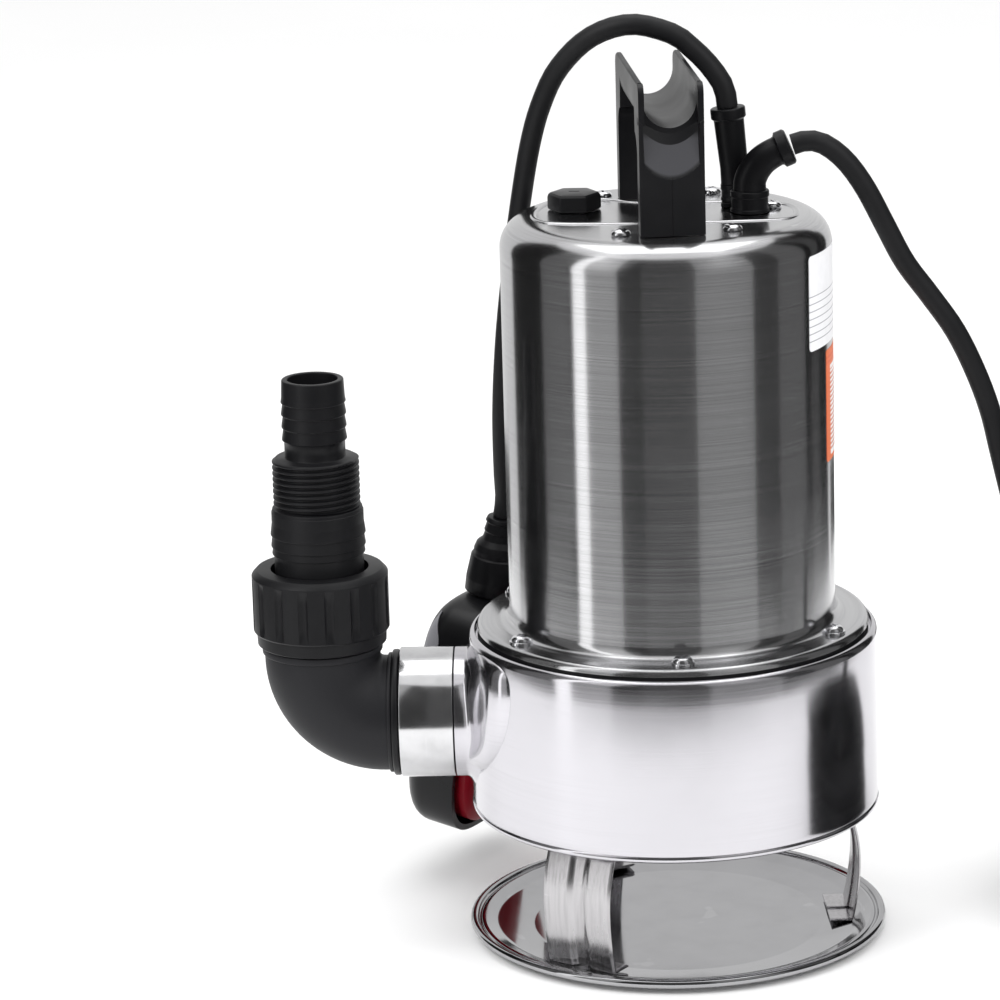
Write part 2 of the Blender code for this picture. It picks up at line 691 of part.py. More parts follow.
def hose_adapter(swivel):
    profile = [(ADAPTER_BORE, ADAPTER_TOP), (0.0121, ADAPTER_TOP), (0.0124, 0.2160)]
    profile += barbs(0.2158, 0.1951, 4, 0.0113, 0.0124)
    profile += [(0.0116, 0.1945), (0.0116, 0.1883), (0.0166, 0.1876), (0.0166, 0.1685), (0.0155, 0.1678)]
    profile += barbs(0.1670, 0.1496, 3, 0.0168, 0.0182)
    profile += [
        (0.0180, 0.1490), (0.0180, 0.1398), (0.0219, 0.1398), (0.0219, 0.1358), (0.0145, 0.1358),
        (0.0145, 0.1650), (ADAPTER_BORE, 0.1880),
    ]
    piece = turned("hose_adapter", profile, BLACK_PLASTIC, Matrix.Translation((RISER_X, 0, 0)), 18)
    ride(piece, swivel)


# ---------------------------------------------------------------- float switch
def float_frame():
    """The float's own axes: X across its width, Y out of its outer face, Z up its length."""
    turn = math.radians(FLOAT_TURN)
    lean = math.radians(FLOAT_LEAN)
    outward = Vector((-math.cos(turn), math.sin(turn), 0))
    across = Vector((math.sin(turn), math.cos(turn), 0))
    up = Vector((0, 0, math.cos(lean))) - outward * math.sin(lean)
    face = across.cross(up) * -1
    top = Vector(BOOT_TOP) - up * BOOT_LENGTH
    frame = Matrix.Identity(4)
    for column, axis in enumerate((across, face, up)):
        frame.col[column] = (*axis, 0)
    frame.col[3] = (*top, 1)
    return frame


def float_ring(inset, depth, side):
    """A rounded rectangle, drawn in from the float's outline, at a distance from its middle plane."""
    half_width = FLOAT_SIZE[0] / 2 - inset
    half_height = FLOAT_SIZE[2] / 2 - inset
    points = []
    count = 20
    for n in range(count):
        angle = 2 * math.pi * n / count
        x = math.copysign(abs(math.cos(angle)) ** 0.5, math.cos(angle)) * half_width
        z = math.copysign(abs(math.sin(angle)) ** 0.5, math.sin(angle)) * half_height
        points.append((x, side * depth, z - FLOAT_SIZE[2] / 2))
    return points


def float_half(name, side, surface, frame, swing):
    """One half of the float's shell: a shallow cup with its mouth at the float's middle plane."""
    deep = FLOAT_SIZE[1]
    wall = FLOAT_WALL
    outside = [(0.0110, deep), (0.0040, deep * 0.86), (0.0010, deep * 0.60), (0, GAP)]
    inside = [(wall, GAP), (wall + 0.0010, deep * 0.55), (wall + 0.0040, deep * 0.75), (0.0130, deep - wall)]
    rings = [float_ring(inset, depth, side) for inset, depth in outside + inside]
    ride(lofted(name, rings, surface, frame), swing)


def float_switch(swing):
    frame = float_frame()
    float_half("float_shell_outer", 1, BLACK_PLASTIC, frame, swing)
    float_half("float_shell_inner", -1, RED_PLASTIC, frame, swing)
    boot_profile = [
        (0, BOOT_LENGTH - GAP), (0.0058, BOOT_LENGTH - GAP), (0.0066, BOOT_LENGTH - 0.0015),
        (0.0070, 0.0225), (0.0092, 0.0205), (0.0100, 0.0180), (0.0118, 0.0060), (0.0118, 0.0020),
        (0.0090, 0.0004), (0, 0.0004),
    ]
    ride(turned("float_boot", boot_profile, RUBBER, frame, 14, ring=False), swing)
    ride(box("float_microswitch", (0.0280, 0.0100, 0.0160), (0, 0, -0.0200), GREY_PLASTIC, frame), swing)


def float_ball(roll):
    centre = float_frame() @ Vector((0, 0, -0.0780))
    mesh = bpy.data.meshes.new("float_ball")
    shape = bmesh.new()
    bmesh.ops.create_uvsphere(shape, u_segments=12, v_segments=8, radius=0.0080)
    shape.to_mesh(mesh)
    shape.free()
    ride(place("float_ball", mesh, STAINLESS, Matrix.Translation(centre)), roll)


# ---------------------------------------------------------------- cords
def cords():
    boot_end = Vector(BOOT_TOP)
    before = float_frame() @ Vector((0, 0, BOOT_LENGTH + 0.0080))
    tube("float_cable", (*FLOAT_CABLE_ROUTE, before, boot_end), CABLE_R, CORD, 0.0070)
    tube("power_cord", POWER_CORD_ROUTE, CABLE_R, CORD, 0.0080)
    tube("power_cord_tail", CORD_TAIL_ROUTE, CABLE_R, CORD, 0.0050)


def bundle_outline(grow):
    """The rounded section of the wound turns: distance from the coil's axis and height, grown all round."""
    width = COIL_WIDTH / 2
    corner = 0.0090
    inner = COIL_R - width + corner
    outer = COIL_R + width - corner
    top = COIL_TOP - corner
    bottom = COIL_BASE + corner
    radius = corner + grow
    points = arc((inner, top), radius, 180, 90, 3) + arc((outer, top), radius, 90, 0, 3)
    return points + arc((outer, bottom), radius, 0, -90, 3) + arc((inner, bottom), radius, -90, -180, 3)


def cord_coil():
    """The stored length: the outer shape of the wound turns, and the tie round them."""
    centre = Matrix.Translation((*COIL_CENTRE, 0))
    turned("power_cord_coil", bundle_outline(0), CORD, centre, 24)
    upright = Matrix.Rotation(math.radians(TIE_ANGLE), 4, "Z") @ Matrix.Rotation(math.radians(90), 4, "X")
    outside = bundle_outline(0.0020)
    inside = bundle_outline(0.0009)
    extruded("coil_tie", outside, TIE_WIDTH, RUBBER, centre @ upright, inside)


def plug():
    """A plain moulded plug with two round pins, lying on its side."""
    along_x = along((1, 0, 0), PLUG_BACK)
    profile = [
        (0, PLUG_LENGTH), (0.0160, PLUG_LENGTH), (0.0172, PLUG_LENGTH - 0.0015),
        (0.0172, PLUG_LENGTH - 0.0110), (0.0140, PLUG_LENGTH - 0.0150), (0.0105, 0.0150),
        (0.0070, 0.0080), (0.0056, 0), (0, 0),
    ]
    turned("plug_body", profile, RUBBER, along_x, 14, ring=False)
    x, y, z = PLUG_BACK
    for n, side in enumerate((-1, 1), 1):
        base = (x + PLUG_LENGTH + GAP, y + side * 0.0095, z)
        pin = [(0, 0.0170), (0.0016, 0.0168), (0.0024, 0.0155), (0.0024, 0), (0, 0)]
        turned(f"plug_pin_{n}", pin, CHROME, along((1, 0, 0), base), 10, ring=False)


# ---------------------------------------------------------------- assembly
def pivot(name, at):
    """An empty on a joint's axis, which its pieces are parented to."""
    empty = bpy.data.objects.new(name, None)
    empty.location = at
    PARTS.objects.link(empty)
    bpy.context.view_layer.update()
    return empty


def ride(piece, on):
    piece.parent = on
    piece.matrix_parent_inverse = on.matrix_world.inverted()


clear_scene()
PARTS = collection("submersible_pump")
CUTTERS = collection("cutters")
CUTTERS.hide_render = True

STAINLESS = material("stainless", (0.62, 0.62, 0.63), 0.22, 1.0)
CHROME = material("screw_steel", (0.72, 0.72, 0.74), 0.12, 1.0)
CAST = material("motor_steel", (0.33, 0.34, 0.36), 0.50, 1.0)
COPPER = material("copper_winding", (0.60, 0.27, 0.12), 0.40, 1.0)
CERAMIC = material("seal_ceramic", (0.86, 0.85, 0.80), 0.30)
BLACK_PLASTIC = material("black_plastic", (0.020, 0.020, 0.022), 0.40)
GREY_PLASTIC = material("grey_plastic", (0.30, 0.31, 0.32), 0.45)
RED_PLASTIC = material("red_plastic", (0.42, 0.01, 0.02), 0.35)
RUBBER = material("black_rubber", (0.016, 0.016, 0.017), 0.55)
CORD = material("cord_rubber", (0.022, 0.022, 0.023), 0.60)

flange_drill = flange_screw_holes()
cover_drill = cover_holes()
base_plate()
legs()
suction_plate()
pump_casing(flange_drill)
outlet_socket()
casing_gasket()
motor_casing(flange_drill, cover_drill)
seal_plate()
upper_bracket(cover_drill)
stator()
bearings_and_seals()
capacitor()
rotor()
impeller()
impeller_nut()
screws()
vent_plug()
glands()
float_sleeve()
power_sleeve()
handle()
elbow_swivel = pivot("elbow_swivel", (RISER_X, 0, OUTLET_Z))
elbow(elbow_swivel)
hose_adapter(elbow_swivel)
nut_turn = pivot("nut_turn", (RISER_X, 0, NUT_BOTTOM))
ride(nut_turn, elbow_swivel)
union_nut(nut_turn)
float_swing = pivot("float_swing", FLOAT_CABLE_ROUTE[11])
float_switch(float_swing)
float_ball(float_swing)
cords()
cord_coil()
plug()
for item in PARTS.objects:
    if item.type == "MESH":
        item.data.shade_smooth()
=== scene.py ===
"""Looks of the submersible drainage pump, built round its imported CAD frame.

Metres, +Z up. The origin is on the floor, on the shaft's axis; the outlet points along -X.
"""

import math

import bmesh
import bpy
from mathutils import Matrix, Vector


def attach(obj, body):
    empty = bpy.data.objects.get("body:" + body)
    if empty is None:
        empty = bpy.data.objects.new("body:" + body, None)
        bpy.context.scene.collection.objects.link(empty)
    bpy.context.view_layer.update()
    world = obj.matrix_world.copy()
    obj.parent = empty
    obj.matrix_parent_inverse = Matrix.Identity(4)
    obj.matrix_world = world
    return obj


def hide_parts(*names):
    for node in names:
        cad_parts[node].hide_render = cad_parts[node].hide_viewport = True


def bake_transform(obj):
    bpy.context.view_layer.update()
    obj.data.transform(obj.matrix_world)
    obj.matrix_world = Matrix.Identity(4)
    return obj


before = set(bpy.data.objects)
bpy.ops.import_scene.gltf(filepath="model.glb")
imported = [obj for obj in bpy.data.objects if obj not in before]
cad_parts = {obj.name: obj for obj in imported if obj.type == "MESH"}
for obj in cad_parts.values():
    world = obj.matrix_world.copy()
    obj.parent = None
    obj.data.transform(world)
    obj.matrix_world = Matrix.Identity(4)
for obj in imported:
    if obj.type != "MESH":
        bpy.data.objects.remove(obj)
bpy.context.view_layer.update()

# ---- dimensions that the CAD shares
CASING_R = 0.0780
LEDGE_Z = 0.1191
MOTOR_R = 0.0622
MOTOR_TOP = 0.2806
MOTOR_EDGE = 0.0110
OUTLET_Z = 0.0873
OUTLET_R = 0.0250
OUTLET_BORE = 0.0226
WELD_X = -0.0840
OUTLET_END_X = -0.1048
ELBOW_R = 0.0222
ELBOW_BEND = 0.0235
RISER_X = -0.1344
NUT_R = 0.0261
GAP = 0.0003  # clearance between touching pieces
SEAT_Z = MOTOR_TOP + GAP  # where pieces rest on the motor casing
GLAND_TOP = 0.2890
# Screws: their ring's radius, their seats' height, their angles round the shaft and their shank's length.
FLANGE_SCREWS = (0.0678, 0.1263, (213, 273, 333, 33, 93, 153), 0.0120)
COVER_SCREWS = (0.0410, SEAT_Z, (246.6, 307, 12, 64, 125), 0.0150)
VENT_XY = (-0.0340, 0.0120)
POWER_GLAND_XY = (0.0318, 0.0010)
FLOAT_GLAND_XY = (0.0269, 0.0142)
HANDLE_CENTRE = (-0.0014, -0.0040)
HANDLE_YAW = 6.5
LEG_ANGLES = {"leg_front": 237, "leg_right": 4, "leg_back": 121}
CABLE_R = 0.0040
FLOAT_SIZE = (0.0720, 0.0150, 0.0960)
BOOT_TOP = (-0.0665, 0.0742, 0.1445)
BOOT_LENGTH = 0.0320
FLOAT_TURN = 27  # of its flat face, in degrees about the vertical
FLOAT_LEAN = 9  # of its foot, in degrees away from the pump
FLOAT_CABLE_ROUTE = (
    (0.0241, 0.0142, 0.3182), (0.0237, 0.0142, 0.3222), (0.0222, 0.0144, 0.3270),
    (0.0173, 0.0150, 0.3341), (0.0109, 0.0156, 0.3406), (0.0036, 0.0162, 0.3459),
    (-0.0116, 0.0174, 0.3494), (-0.0268, 0.0205, 0.3443), (-0.0390, 0.0255, 0.3320),
    (-0.0460, 0.0300, 0.3177), (-0.0507, 0.0352, 0.3015), (-0.0550, 0.0415, 0.2786),
    (-0.0593, 0.0485, 0.2503), (-0.0630, 0.0560, 0.2200), (-0.0652, 0.0635, 0.1900),
    (-0.0656, 0.0705, 0.1640),
)
POWER_SLEEVE_ROUTE = (
    (0.0318, 0.0010, 0.2896), (0.0320, 0.0010, 0.2925), (0.0338, 0.0008, 0.2965),
    (0.0368, 0.0004, 0.3001), (0.0408, 0.0000, 0.3028), (0.0452, 0.0000, 0.3047),
)
POWER_CORD_ROUTE = (
    (0.0478, 0.0000, 0.3058), (0.0520, 0.0000, 0.3070), (0.0570, 0.0000, 0.3068),
    (0.0625, 0.0000, 0.3039), (0.0688, 0.0000, 0.2978), (0.0753, 0.0000, 0.2880),
    (0.0821, 0.0000, 0.2745), (0.0894, 0.0000, 0.2603), (0.0987, 0.0000, 0.2474),
    (0.1080, 0.0000, 0.2338), (0.1155, 0.0000, 0.2182), (0.1211, 0.0000, 0.2026),
    (0.1250, 0.0000, 0.1860), (0.1320, -0.0010, 0.1560), (0.1390, -0.0040, 0.1250),
    (0.1460, -0.0100, 0.0950), (0.1530, -0.0210, 0.0700), (0.1625, -0.0350, 0.0535),
    (0.1760, -0.0490, 0.0478),
)
COIL_CENTRE = (0.2280, 0.0000)
COIL_R = 0.0736
COIL_BOTTOM = 0.0062  # height of the lowest turns' centreline
COIL_LAYERS = 5
TURNS = 20.5
COIL_START = 300  # where the cord has come down into the top layer, in degrees round the coil
CORD_TAIL_ROUTE = (
    (0.2134, -0.0140, 0.0178), (0.2085, -0.0140, 0.0177), (0.1995, -0.0122, 0.0140),
    (0.1910, -0.0078, 0.0088), (0.1850, -0.0020, 0.0062), (0.1821, 0.0025, 0.0052),
)
PLUG_BACK = (0.2139, -0.0140, 0.0178)
PLUG_LENGTH = 0.0400


# ---- shapes
def turns(count):
    """The angles of a full turn in even steps, in radians."""
    return [2 * math.pi * n / count for n in range(count)]


def polar(radius, degrees, centre=(0, 0)):
    angle = math.radians(degrees)
    return centre[0] + radius * math.cos(angle), centre[1] + radius * math.sin(angle)


def arc(centre, radius, start, end, count):
    return [polar(radius, start + (end - start) * n / (count - 1), centre) for n in range(count)]


def rounded(corners, closed=True, count=5):
    """A polygon of (x, y) or (x, y, radius) with an arc in place of each corner that has a radius."""
    points = []
    last = len(corners) - 1
    for n, corner in enumerate(corners):
        here = Vector(corner[:2])
        if len(corner) < 3 or (not closed and n in (0, last)):
            points.append(tuple(here))
            continue
        to_before = (Vector(corners[n - 1][:2]) - here).normalized()
        to_after = (Vector(corners[(n + 1) % len(corners)][:2]) - here).normalized()
        half = to_before.angle(to_after) / 2
        reach = corner[2] / math.tan(half)
        middle = here + (to_before + to_after).normalized() * corner[2] / math.sin(half)
        start = here + to_before * reach - middle
        end = here + to_after * reach - middle
        for step in range(count):
            turn = start.slerp(end, step / (count - 1))
            points.append(tuple(middle + turn.normalized() * corner[2]))
    return points


def smooth_path(route, spacing):
    """Points at even steps along a smooth curve through the route's own points."""
    knots = [Vector(p) for p in route]
    knots = [2 * knots[0] - knots[1], *knots, 2 * knots[-1] - knots[-2]]
    fine = []
    for a, b, c, d in zip(knots, knots[1:], knots[2:], knots[3:]):
        for n in range(16):
            t = n / 16
            bent = (2 * a - 5 * b + 4 * c - d) * t**2 + (3 * b - a - 3 * c + d) * t**3
            fine.append(0.5 * (2 * b + (c - a) * t + bent))
    fine.append(knots[-2])
    lengths = [0.0]
    for a, b in zip(fine, fine[1:]):
        lengths.append(lengths[-1] + (b - a).length)
    count = max(2, round(lengths[-1] / spacing))
    points = []
    here = 0
    for n in range(count + 1):
        want = lengths[-1] * n / count
        while here < len(fine) - 2 and lengths[here + 1] < want:
            here += 1
        share = (want - lengths[here]) / (lengths[here + 1] - lengths[here])
        points.append(fine[here].lerp(fine[here + 1], min(1.0, share)))
    return points


def path_length(points):
    return sum((Vector(b) - Vector(a)).length for a, b in zip(points, points[1:]))


def skinned(rows, ring_rows=False, caps=True):
    """Vertices and faces of a skin over closed rows of points. ring_rows joins the last row to the first."""
    count = len(rows[0])
    vertices = [tuple(p) for row in rows for p in row]
    faces = []
    for r in range(len(rows) if ring_rows else len(rows) - 1):
        low = r * count
        high = (r + 1) % len(rows) * count
        for n in range(count):
            after = (n + 1) % count
            faces.append((low + n, low + after, high + after, high + n))
    if caps and not ring_rows:
        faces.append(tuple(range(count))[::-1])
        faces.append(tuple(range(len(vertices) - count, len(vertices))))
    return vertices, faces


def turning(profile, steps=128, ring=True):
    """A profile of (radius, height) turned about Z: a closed one for a ring, or one from axis to axis."""
    around = [(math.cos(a), math.sin(a)) for a in turns(steps)]
    rows = [[(r * c, r * s, z) for c, s in around] for r, z in profile]
    return skinned(rows, ring_rows=ring, caps=False)


def pressed(shape, depth_at):
    """A turned shape, each point drawn in by depth_at(radius, share of a turn, height)."""
    vertices, faces = shape
    points = []
    for x, y, z in vertices:
        r = math.hypot(x, y)
        depth = depth_at(r, math.atan2(y, x) / (2 * math.pi), z)
        scale = 1 - depth / r if depth else 1.0
        points.append((x * scale, y * scale, z))
    return points, faces


def lathe(corners, steps=128, ring=True):
    """Corners of a profile, rounded where they have a radius, turned about Z."""
    return turning(rounded(corners, closed=ring), steps, ring)


def slab(pairs):
    """A closed sheet from rows of pairs, each of a point on its front and the one behind it."""
    rows, columns = len(pairs), len(pairs[0])
    vertices = [tuple(pair[face]) for face in (0, 1) for row in pairs for pair in row]
    behind = rows * columns
    faces = []
    for r in range(rows - 1):
        for c in range(columns - 1):
            a = r * columns + c
            quad = (a, a + 1, a + columns + 1, a + columns)
            faces.append(quad)
            faces.append(tuple(behind + n for n in quad[::-1]))
    rim = list(range(columns))
    rim += [r * columns + columns - 1 for r in range(1, rows)]
    rim += [(rows - 1) * columns + c for c in range(columns - 2, -1, -1)]
    rim += [r * columns for r in range(rows - 2, 0, -1)]
    for a, b in zip(rim, rim[1:] + rim[:1]):
        faces.append((b, a, behind + a, behind + b))
    return vertices, faces


def frames_along(points):
    """Two directions across a path at each of its points, carried along it without twist."""
    runs = []
    for n in range(len(points)):
        before = Vector(points[max(n - 1, 0)])
        after = Vector(points[min(n + 1, len(points) - 1)])
        runs.append((after - before).normalized())
    side = runs[0].orthogonal().normalized()
    frames = []
    for run in runs:
        side = (side - run * side.dot(run)).normalized()
        frames.append((side, run.cross(side)))
    return frames


def tubing(points, radii, sides=32, inner=None):
    """A tube through the points, with a radius at each, solid or with an inner radius at each."""
    def rings(radii):
        for point, (side, up), radius in zip(points, frames, radii):
            yield [Vector(point) + radius * (math.cos(a) * side + math.sin(a) * up) for a in turns(sides)]

    frames = frames_along(points)
    if inner is None:
        return skinned(list(rings(radii)))
    return skinned([*rings(radii), *list(rings(inner))[::-1]], ring_rows=True)


def prism(outline, bottom, top):
    """An outline in the XY plane, closed between two heights."""
    return skinned([[(x, y, bottom) for x, y in outline], [(x, y, top) for x, y in outline]])


def moved(shape, matrix):
    vertices, faces = shape
    return [tuple(matrix @ Vector(v)) for v in vertices], faces


def together(*shapes):
    """Several shapes as one."""
    vertices, faces = [], []
    for more_vertices, more_faces in shapes:
        start = len(vertices)
        vertices += more_vertices
        faces += [tuple(start + n for n in face) for face in more_faces]
    return vertices, faces


def along(direction, origin):
    turn = Vector(direction).normalized().to_track_quat("Z", "Y").to_matrix().to_4x4()
    return Matrix.Translation(origin) @ turn


def spin(degrees, axis="Z"):
    return Matrix.Rotation(math.radians(degrees), 4, axis)


def at(x, y, z=0.0):
    return Matrix.Translation((x, y, z))


def axes(x, y, z, origin):
    """A matrix with these for its axes and its origin."""
    matrix = Matrix.Identity(4)
    for column, axis in enumerate((x, y, z)):
        matrix.col[column] = (*axis, 0.0)
    matrix.col[3] = (*origin, 1.0)
    return matrix


TOWARDS_OUTLET = at(0, 0, OUTLET_Z) @ spin(-90, "Y")


def linked(name, data):
    """A new object in the scene."""
    obj = bpy.data.objects.new(name, data)
    bpy.context.scene.collection.objects.link(obj)
    return obj


def clean_mesh(name, shape):
    """A shape's mesh, with points that coincide merged and its faces turned outward."""
    vertices, faces = shape
    mesh = bpy.data.meshes.new(name)
    mesh.from_pydata(vertices, [], faces)
    made = bmesh.new()
    made.from_mesh(mesh)
    bmesh.ops.remove_doubles(made, verts=made.verts, dist=0.000002)
    bmesh.ops.recalc_face_normals(made, faces=made.faces)
    made.to_mesh(mesh)
    made.free()
    return mesh


def piece(name, shape, finish, body="pump", nodes=(), matrix=None, crease=38, bevel=0.0):
    """A shape made a named piece that rides on a body, stands for CAD nodes and takes its finish's material.
    """
    mesh = clean_mesh(name, shape)
    mesh.shade_smooth()
    mesh.set_sharp_from_angle(angle=math.radians(crease))
    mesh.materials.append(finish.material)
    obj = linked(name, mesh)
    obj.matrix_world = matrix or Matrix.Identity(4)
    if bevel:
        edge = obj.modifiers.new("Edges", "BEVEL")
        edge.width = bevel
        edge.segments = 3
        edge.limit_method = "ANGLE"
        edge.angle_limit = math.radians(crease)
        edge.harden_normals = True
    if body:
        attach(obj, body)
    if nodes:
        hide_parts(*nodes)
    return obj


# ---- finishes
class Finish:
    """A Principled material, the procedural nodes that feed it, and the name of a material slot, which it
    keeps.
    """

    def __init__(self, name, colour, roughness, metallic=0.0, slot=None, **fixed):
        self.slot = slot
        self.material = bpy.data.materials.new(name)
        self.material.use_nodes = True
        self.tree = self.material.node_tree
        self.shader = self.tree.nodes["Principled BSDF"]
        values = {"Base Color": (*colour, 1.0), "Roughness": roughness, "Metallic": metallic, **fixed}
        for socket, value in values.items():
            self.shader.inputs[socket].default_value = value
        self.here = self.node("TexCoord", {}).outputs["Object"]
        self.normal = None

    def node(self, kind, inputs, **settings):
        made = self.tree.nodes.new("ShaderNode" + kind)
        for name, value in settings.items():
            setattr(made, name, value)
        for name, value in inputs.items():
            if isinstance(value, bpy.types.NodeSocket):
                self.tree.links.new(value, made.inputs[name])
            else:
                made.inputs[name].default_value = value
        return made

    def noise(self, scale, detail=3.0, turn=(0, 0, 0)):
        """Noise whose grain is 1 / scale long, with a scale for each axis."""
        size = scale if isinstance(scale, tuple) else (scale,) * 3
        mapped = self.node("Mapping", {"Vector": self.here, "Rotation": turn, "Scale": size}).outputs[0]
        return self.node("TexNoise", {"Vector": mapped, "Scale": 1.0, "Detail": detail}).outputs[0]

    def spread(self, value, low, high, to_low=0.0, to_high=1.0):
        """The value's run from low to high made one from to_low to to_high, and held beyond."""
        inputs = {"Value": value, "From Min": low, "From Max": high, "To Min": to_low, "To Max": to_high}
        return self.node("MapRange", inputs).outputs[0]

    def maths(self, operation, a, b=0.0):
        return self.node("Math", {0: a, 1: b}, operation=operation).outputs[0]

    def ramp(self, value, *stops, step=False):
        made = self.node("ValToRGB", {"Fac": value})
        ramp = made.color_ramp
        ramp.interpolation = "CONSTANT" if step else "LINEAR"
        while len(ramp.elements) < len(stops):
            ramp.elements.new(0.5)
        for element, (position, colour) in zip(ramp.elements, stops):
            element.position = position
            element.color = (*colour, 1.0)
        return made.outputs[0]

    def mix(self, share, a, b):
        made = self.node("Mix", {0: share}, data_type="RGBA")
        for socket, value in ((made.inputs[6], a), (made.inputs[7], b)):
            if isinstance(value, bpy.types.NodeSocket):
                self.tree.links.new(value, socket)
            else:
                socket.default_value = (*value, 1.0)
        return made.outputs[2]

    def feed(self, socket, value):
        self.tree.links.new(value, self.shader.inputs[socket])
        return self

    def bump(self, height, distance, strength=1.0):
        inputs = {"Height": height, "Distance": distance, "Strength": strength}
        if self.normal:
            inputs["Normal"] = self.normal
        self.normal = self.node("Bump", inputs).outputs[0]
        return self.feed("Normal", self.normal)


def steel(name, shade, roughness, grain, depth, anisotropic=0.0, smudge=0.05, contrast=1.0, **fixed):
    """Stainless sheet: brush lines along the grain, handling smudges and a few fine scratches."""
    fixed.update({"Anisotropic": anisotropic, "Anisotropic Rotation": 0.25})
    made = Finish(name, shade, roughness, 1.0, **fixed)
    lines = made.noise(grain, 4.0)
    marks = made.noise(38.0, 5.0)
    scratch = made.noise((60, 60, 1400), 2.0, (0.5, 0.9, 0.2))
    scratches = made.spread(scratch, 0.70, 0.74)
    dark = tuple(c * (1 - 0.14 * contrast) for c in shade)
    light = tuple(min(1.0, c * (1 + 0.08 * contrast)) for c in shade)
    brushed = made.ramp(lines, (0.30, dark), (0.50, shade), (0.70, light))
    shown = made.maths("MULTIPLY", scratches, 0.25 * contrast)
    made.feed("Base Color", made.mix(shown, brushed, (0.90, 0.90, 0.91)))
    smudged = made.spread(marks, 0.35, 0.70, 0.0, smudge)
    rough = made.maths("ADD", smudged, made.spread(lines, 0.3, 0.7, 0.0, 0.05))
    made.feed("Roughness", made.maths("ADD", rough, roughness))
    made.bump(lines, depth)
    return made


def moulded(name, colour, roughness, grain=900.0, depth=0.00003, wear=0.10, **fixed):
    """Moulded plastic or rubber: a fine spark-eroded grain, uneven gloss and lighter rubbed places."""
    made = Finish(name, colour, roughness, **fixed)
    fine = made.noise(grain, 3.0)
    broad = made.noise(34.0, 4.0)
    paler = tuple(c + wear * (0.12 + 0.3 * c) for c in colour)
    made.feed("Base Color", made.ramp(broad, (0.38, colour), (0.75, paler)))
    made.feed("Roughness", made.spread(broad, 0.3, 0.7, roughness - 0.05, roughness + 0.08))
    made.bump(fine, depth)
    return made


SHEET_STEEL = {"slot": "stainless"}
BRUSHED = steel(
    "brushed_stainless", (0.56, 0.56, 0.57), 0.14, (8, 8, 5200), 0.0000015, 0.80, 0.03, **SHEET_STEEL
)
SATIN = steel(
    "satin_stainless", (0.61, 0.60, 0.63), 0.12, (9, 9, 2600), 0.0000006, 0.30, 0.03, 0.4, **SHEET_STEEL
)
POLISHED = steel(
    "polished_stainless", (0.66, 0.66, 0.67), 0.09, (90, 90, 90), 0.000001, 0.0, 0.05, **SHEET_STEEL
)
# Polished stainless whose colour is set darker than the other steels': painted shade, standing in for the
# dark reflections on the base plate.
PAINTED_SHADE_MIRROR = steel(
    "mirror_stainless_painted_shade", (0.43, 0.43, 0.44), 0.05, (60, 60, 60), 0.0000004, 0.0, 0.02, 0.4, **SHEET_STEEL
)
STRIP = steel("strip_stainless", (0.50, 0.49, 0.50), 0.20, (700, 700, 30), 0.000003, 0.0, 0.06, **SHEET_STEEL)
CHROME = steel(
    "bright_screw_steel", (0.78, 0.78, 0.80), 0.08, (500, 500, 500), 0.000001, 0.0, 0.05, slot="screw_steel"
)
DULL = {"Specular IOR Level": 0.22}
BLACK = {**DULL, "slot": "black_plastic"}
RED_DULL = {**DULL, "slot": "red_plastic"}
RUBBER_DULL = {**DULL, "slot": "black_rubber"}
CORD_DULL = {**DULL, "slot": "cord_rubber"}
BLACK_GLOSS = moulded("black_handle_plastic", (0.006, 0.006, 0.007), 0.30, 1400.0, 0.000008, 0.03, **BLACK)
HANDLE_BLACK = moulded("black_handle_moulding", (0.006, 0.006, 0.007), 0.32, 1400.0, 0.000008, 0.03, **BLACK)
BLACK_MATT = moulded("black_pipe_plastic", (0.011, 0.011, 0.013), 0.46, 1500.0, 0.000012, 0.02, **BLACK)
BLACK_SATIN = moulded("black_fitting_plastic", (0.006, 0.006, 0.007), 0.40, 1200.0, 0.000010, 0.02, **BLACK)
RED = moulded("red_float_plastic", (0.22, 0.002, 0.010), 0.32, 1100.0, 0.000008, 0.05, **RED_DULL)
GREY = moulded("grey_moulding", (0.22, 0.22, 0.24), 0.38, 1100.0, 0.000010, 0.20, slot="grey_plastic")
RUBBER = moulded("black_rubber", (0.005, 0.005, 0.006), 0.34, 1300.0, 0.000010, 0.02, **RUBBER_DULL)
CORD = moulded("cord_rubber", (0.008, 0.008, 0.009), 0.46, 1700.0, 0.000018, 0.03, **CORD_DULL)


def ruled(name, ground, ink, low, high, pitch, share):
    """Printed card: a plain ground with level ruled lines between two heights."""
    made = Finish(name, ground, 0.42)
    z = made.node("SeparateXYZ", {"Vector": made.here}).outputs[2]
    cycle = made.maths("FRACT", made.maths("DIVIDE", made.maths("SUBTRACT", z, low), pitch))
    inside = made.maths("MULTIPLY", made.maths("GREATER_THAN", z, low), made.maths("LESS_THAN", z, high))
    line = made.maths("MULTIPLY", made.maths("LESS_THAN", cycle, share), inside)
    paper = made.ramp(made.noise(260.0), (0.3, tuple(0.94 * c for c in ground)), (0.7, ground))
    made.feed("Base Color", made.mix(line, paper, ink))
    made.feed("Roughness", made.spread(made.noise(120.0), 0.3, 0.7, 0.36, 0.50))
    made.bump(made.noise(2400.0), 0.000006)
    return made


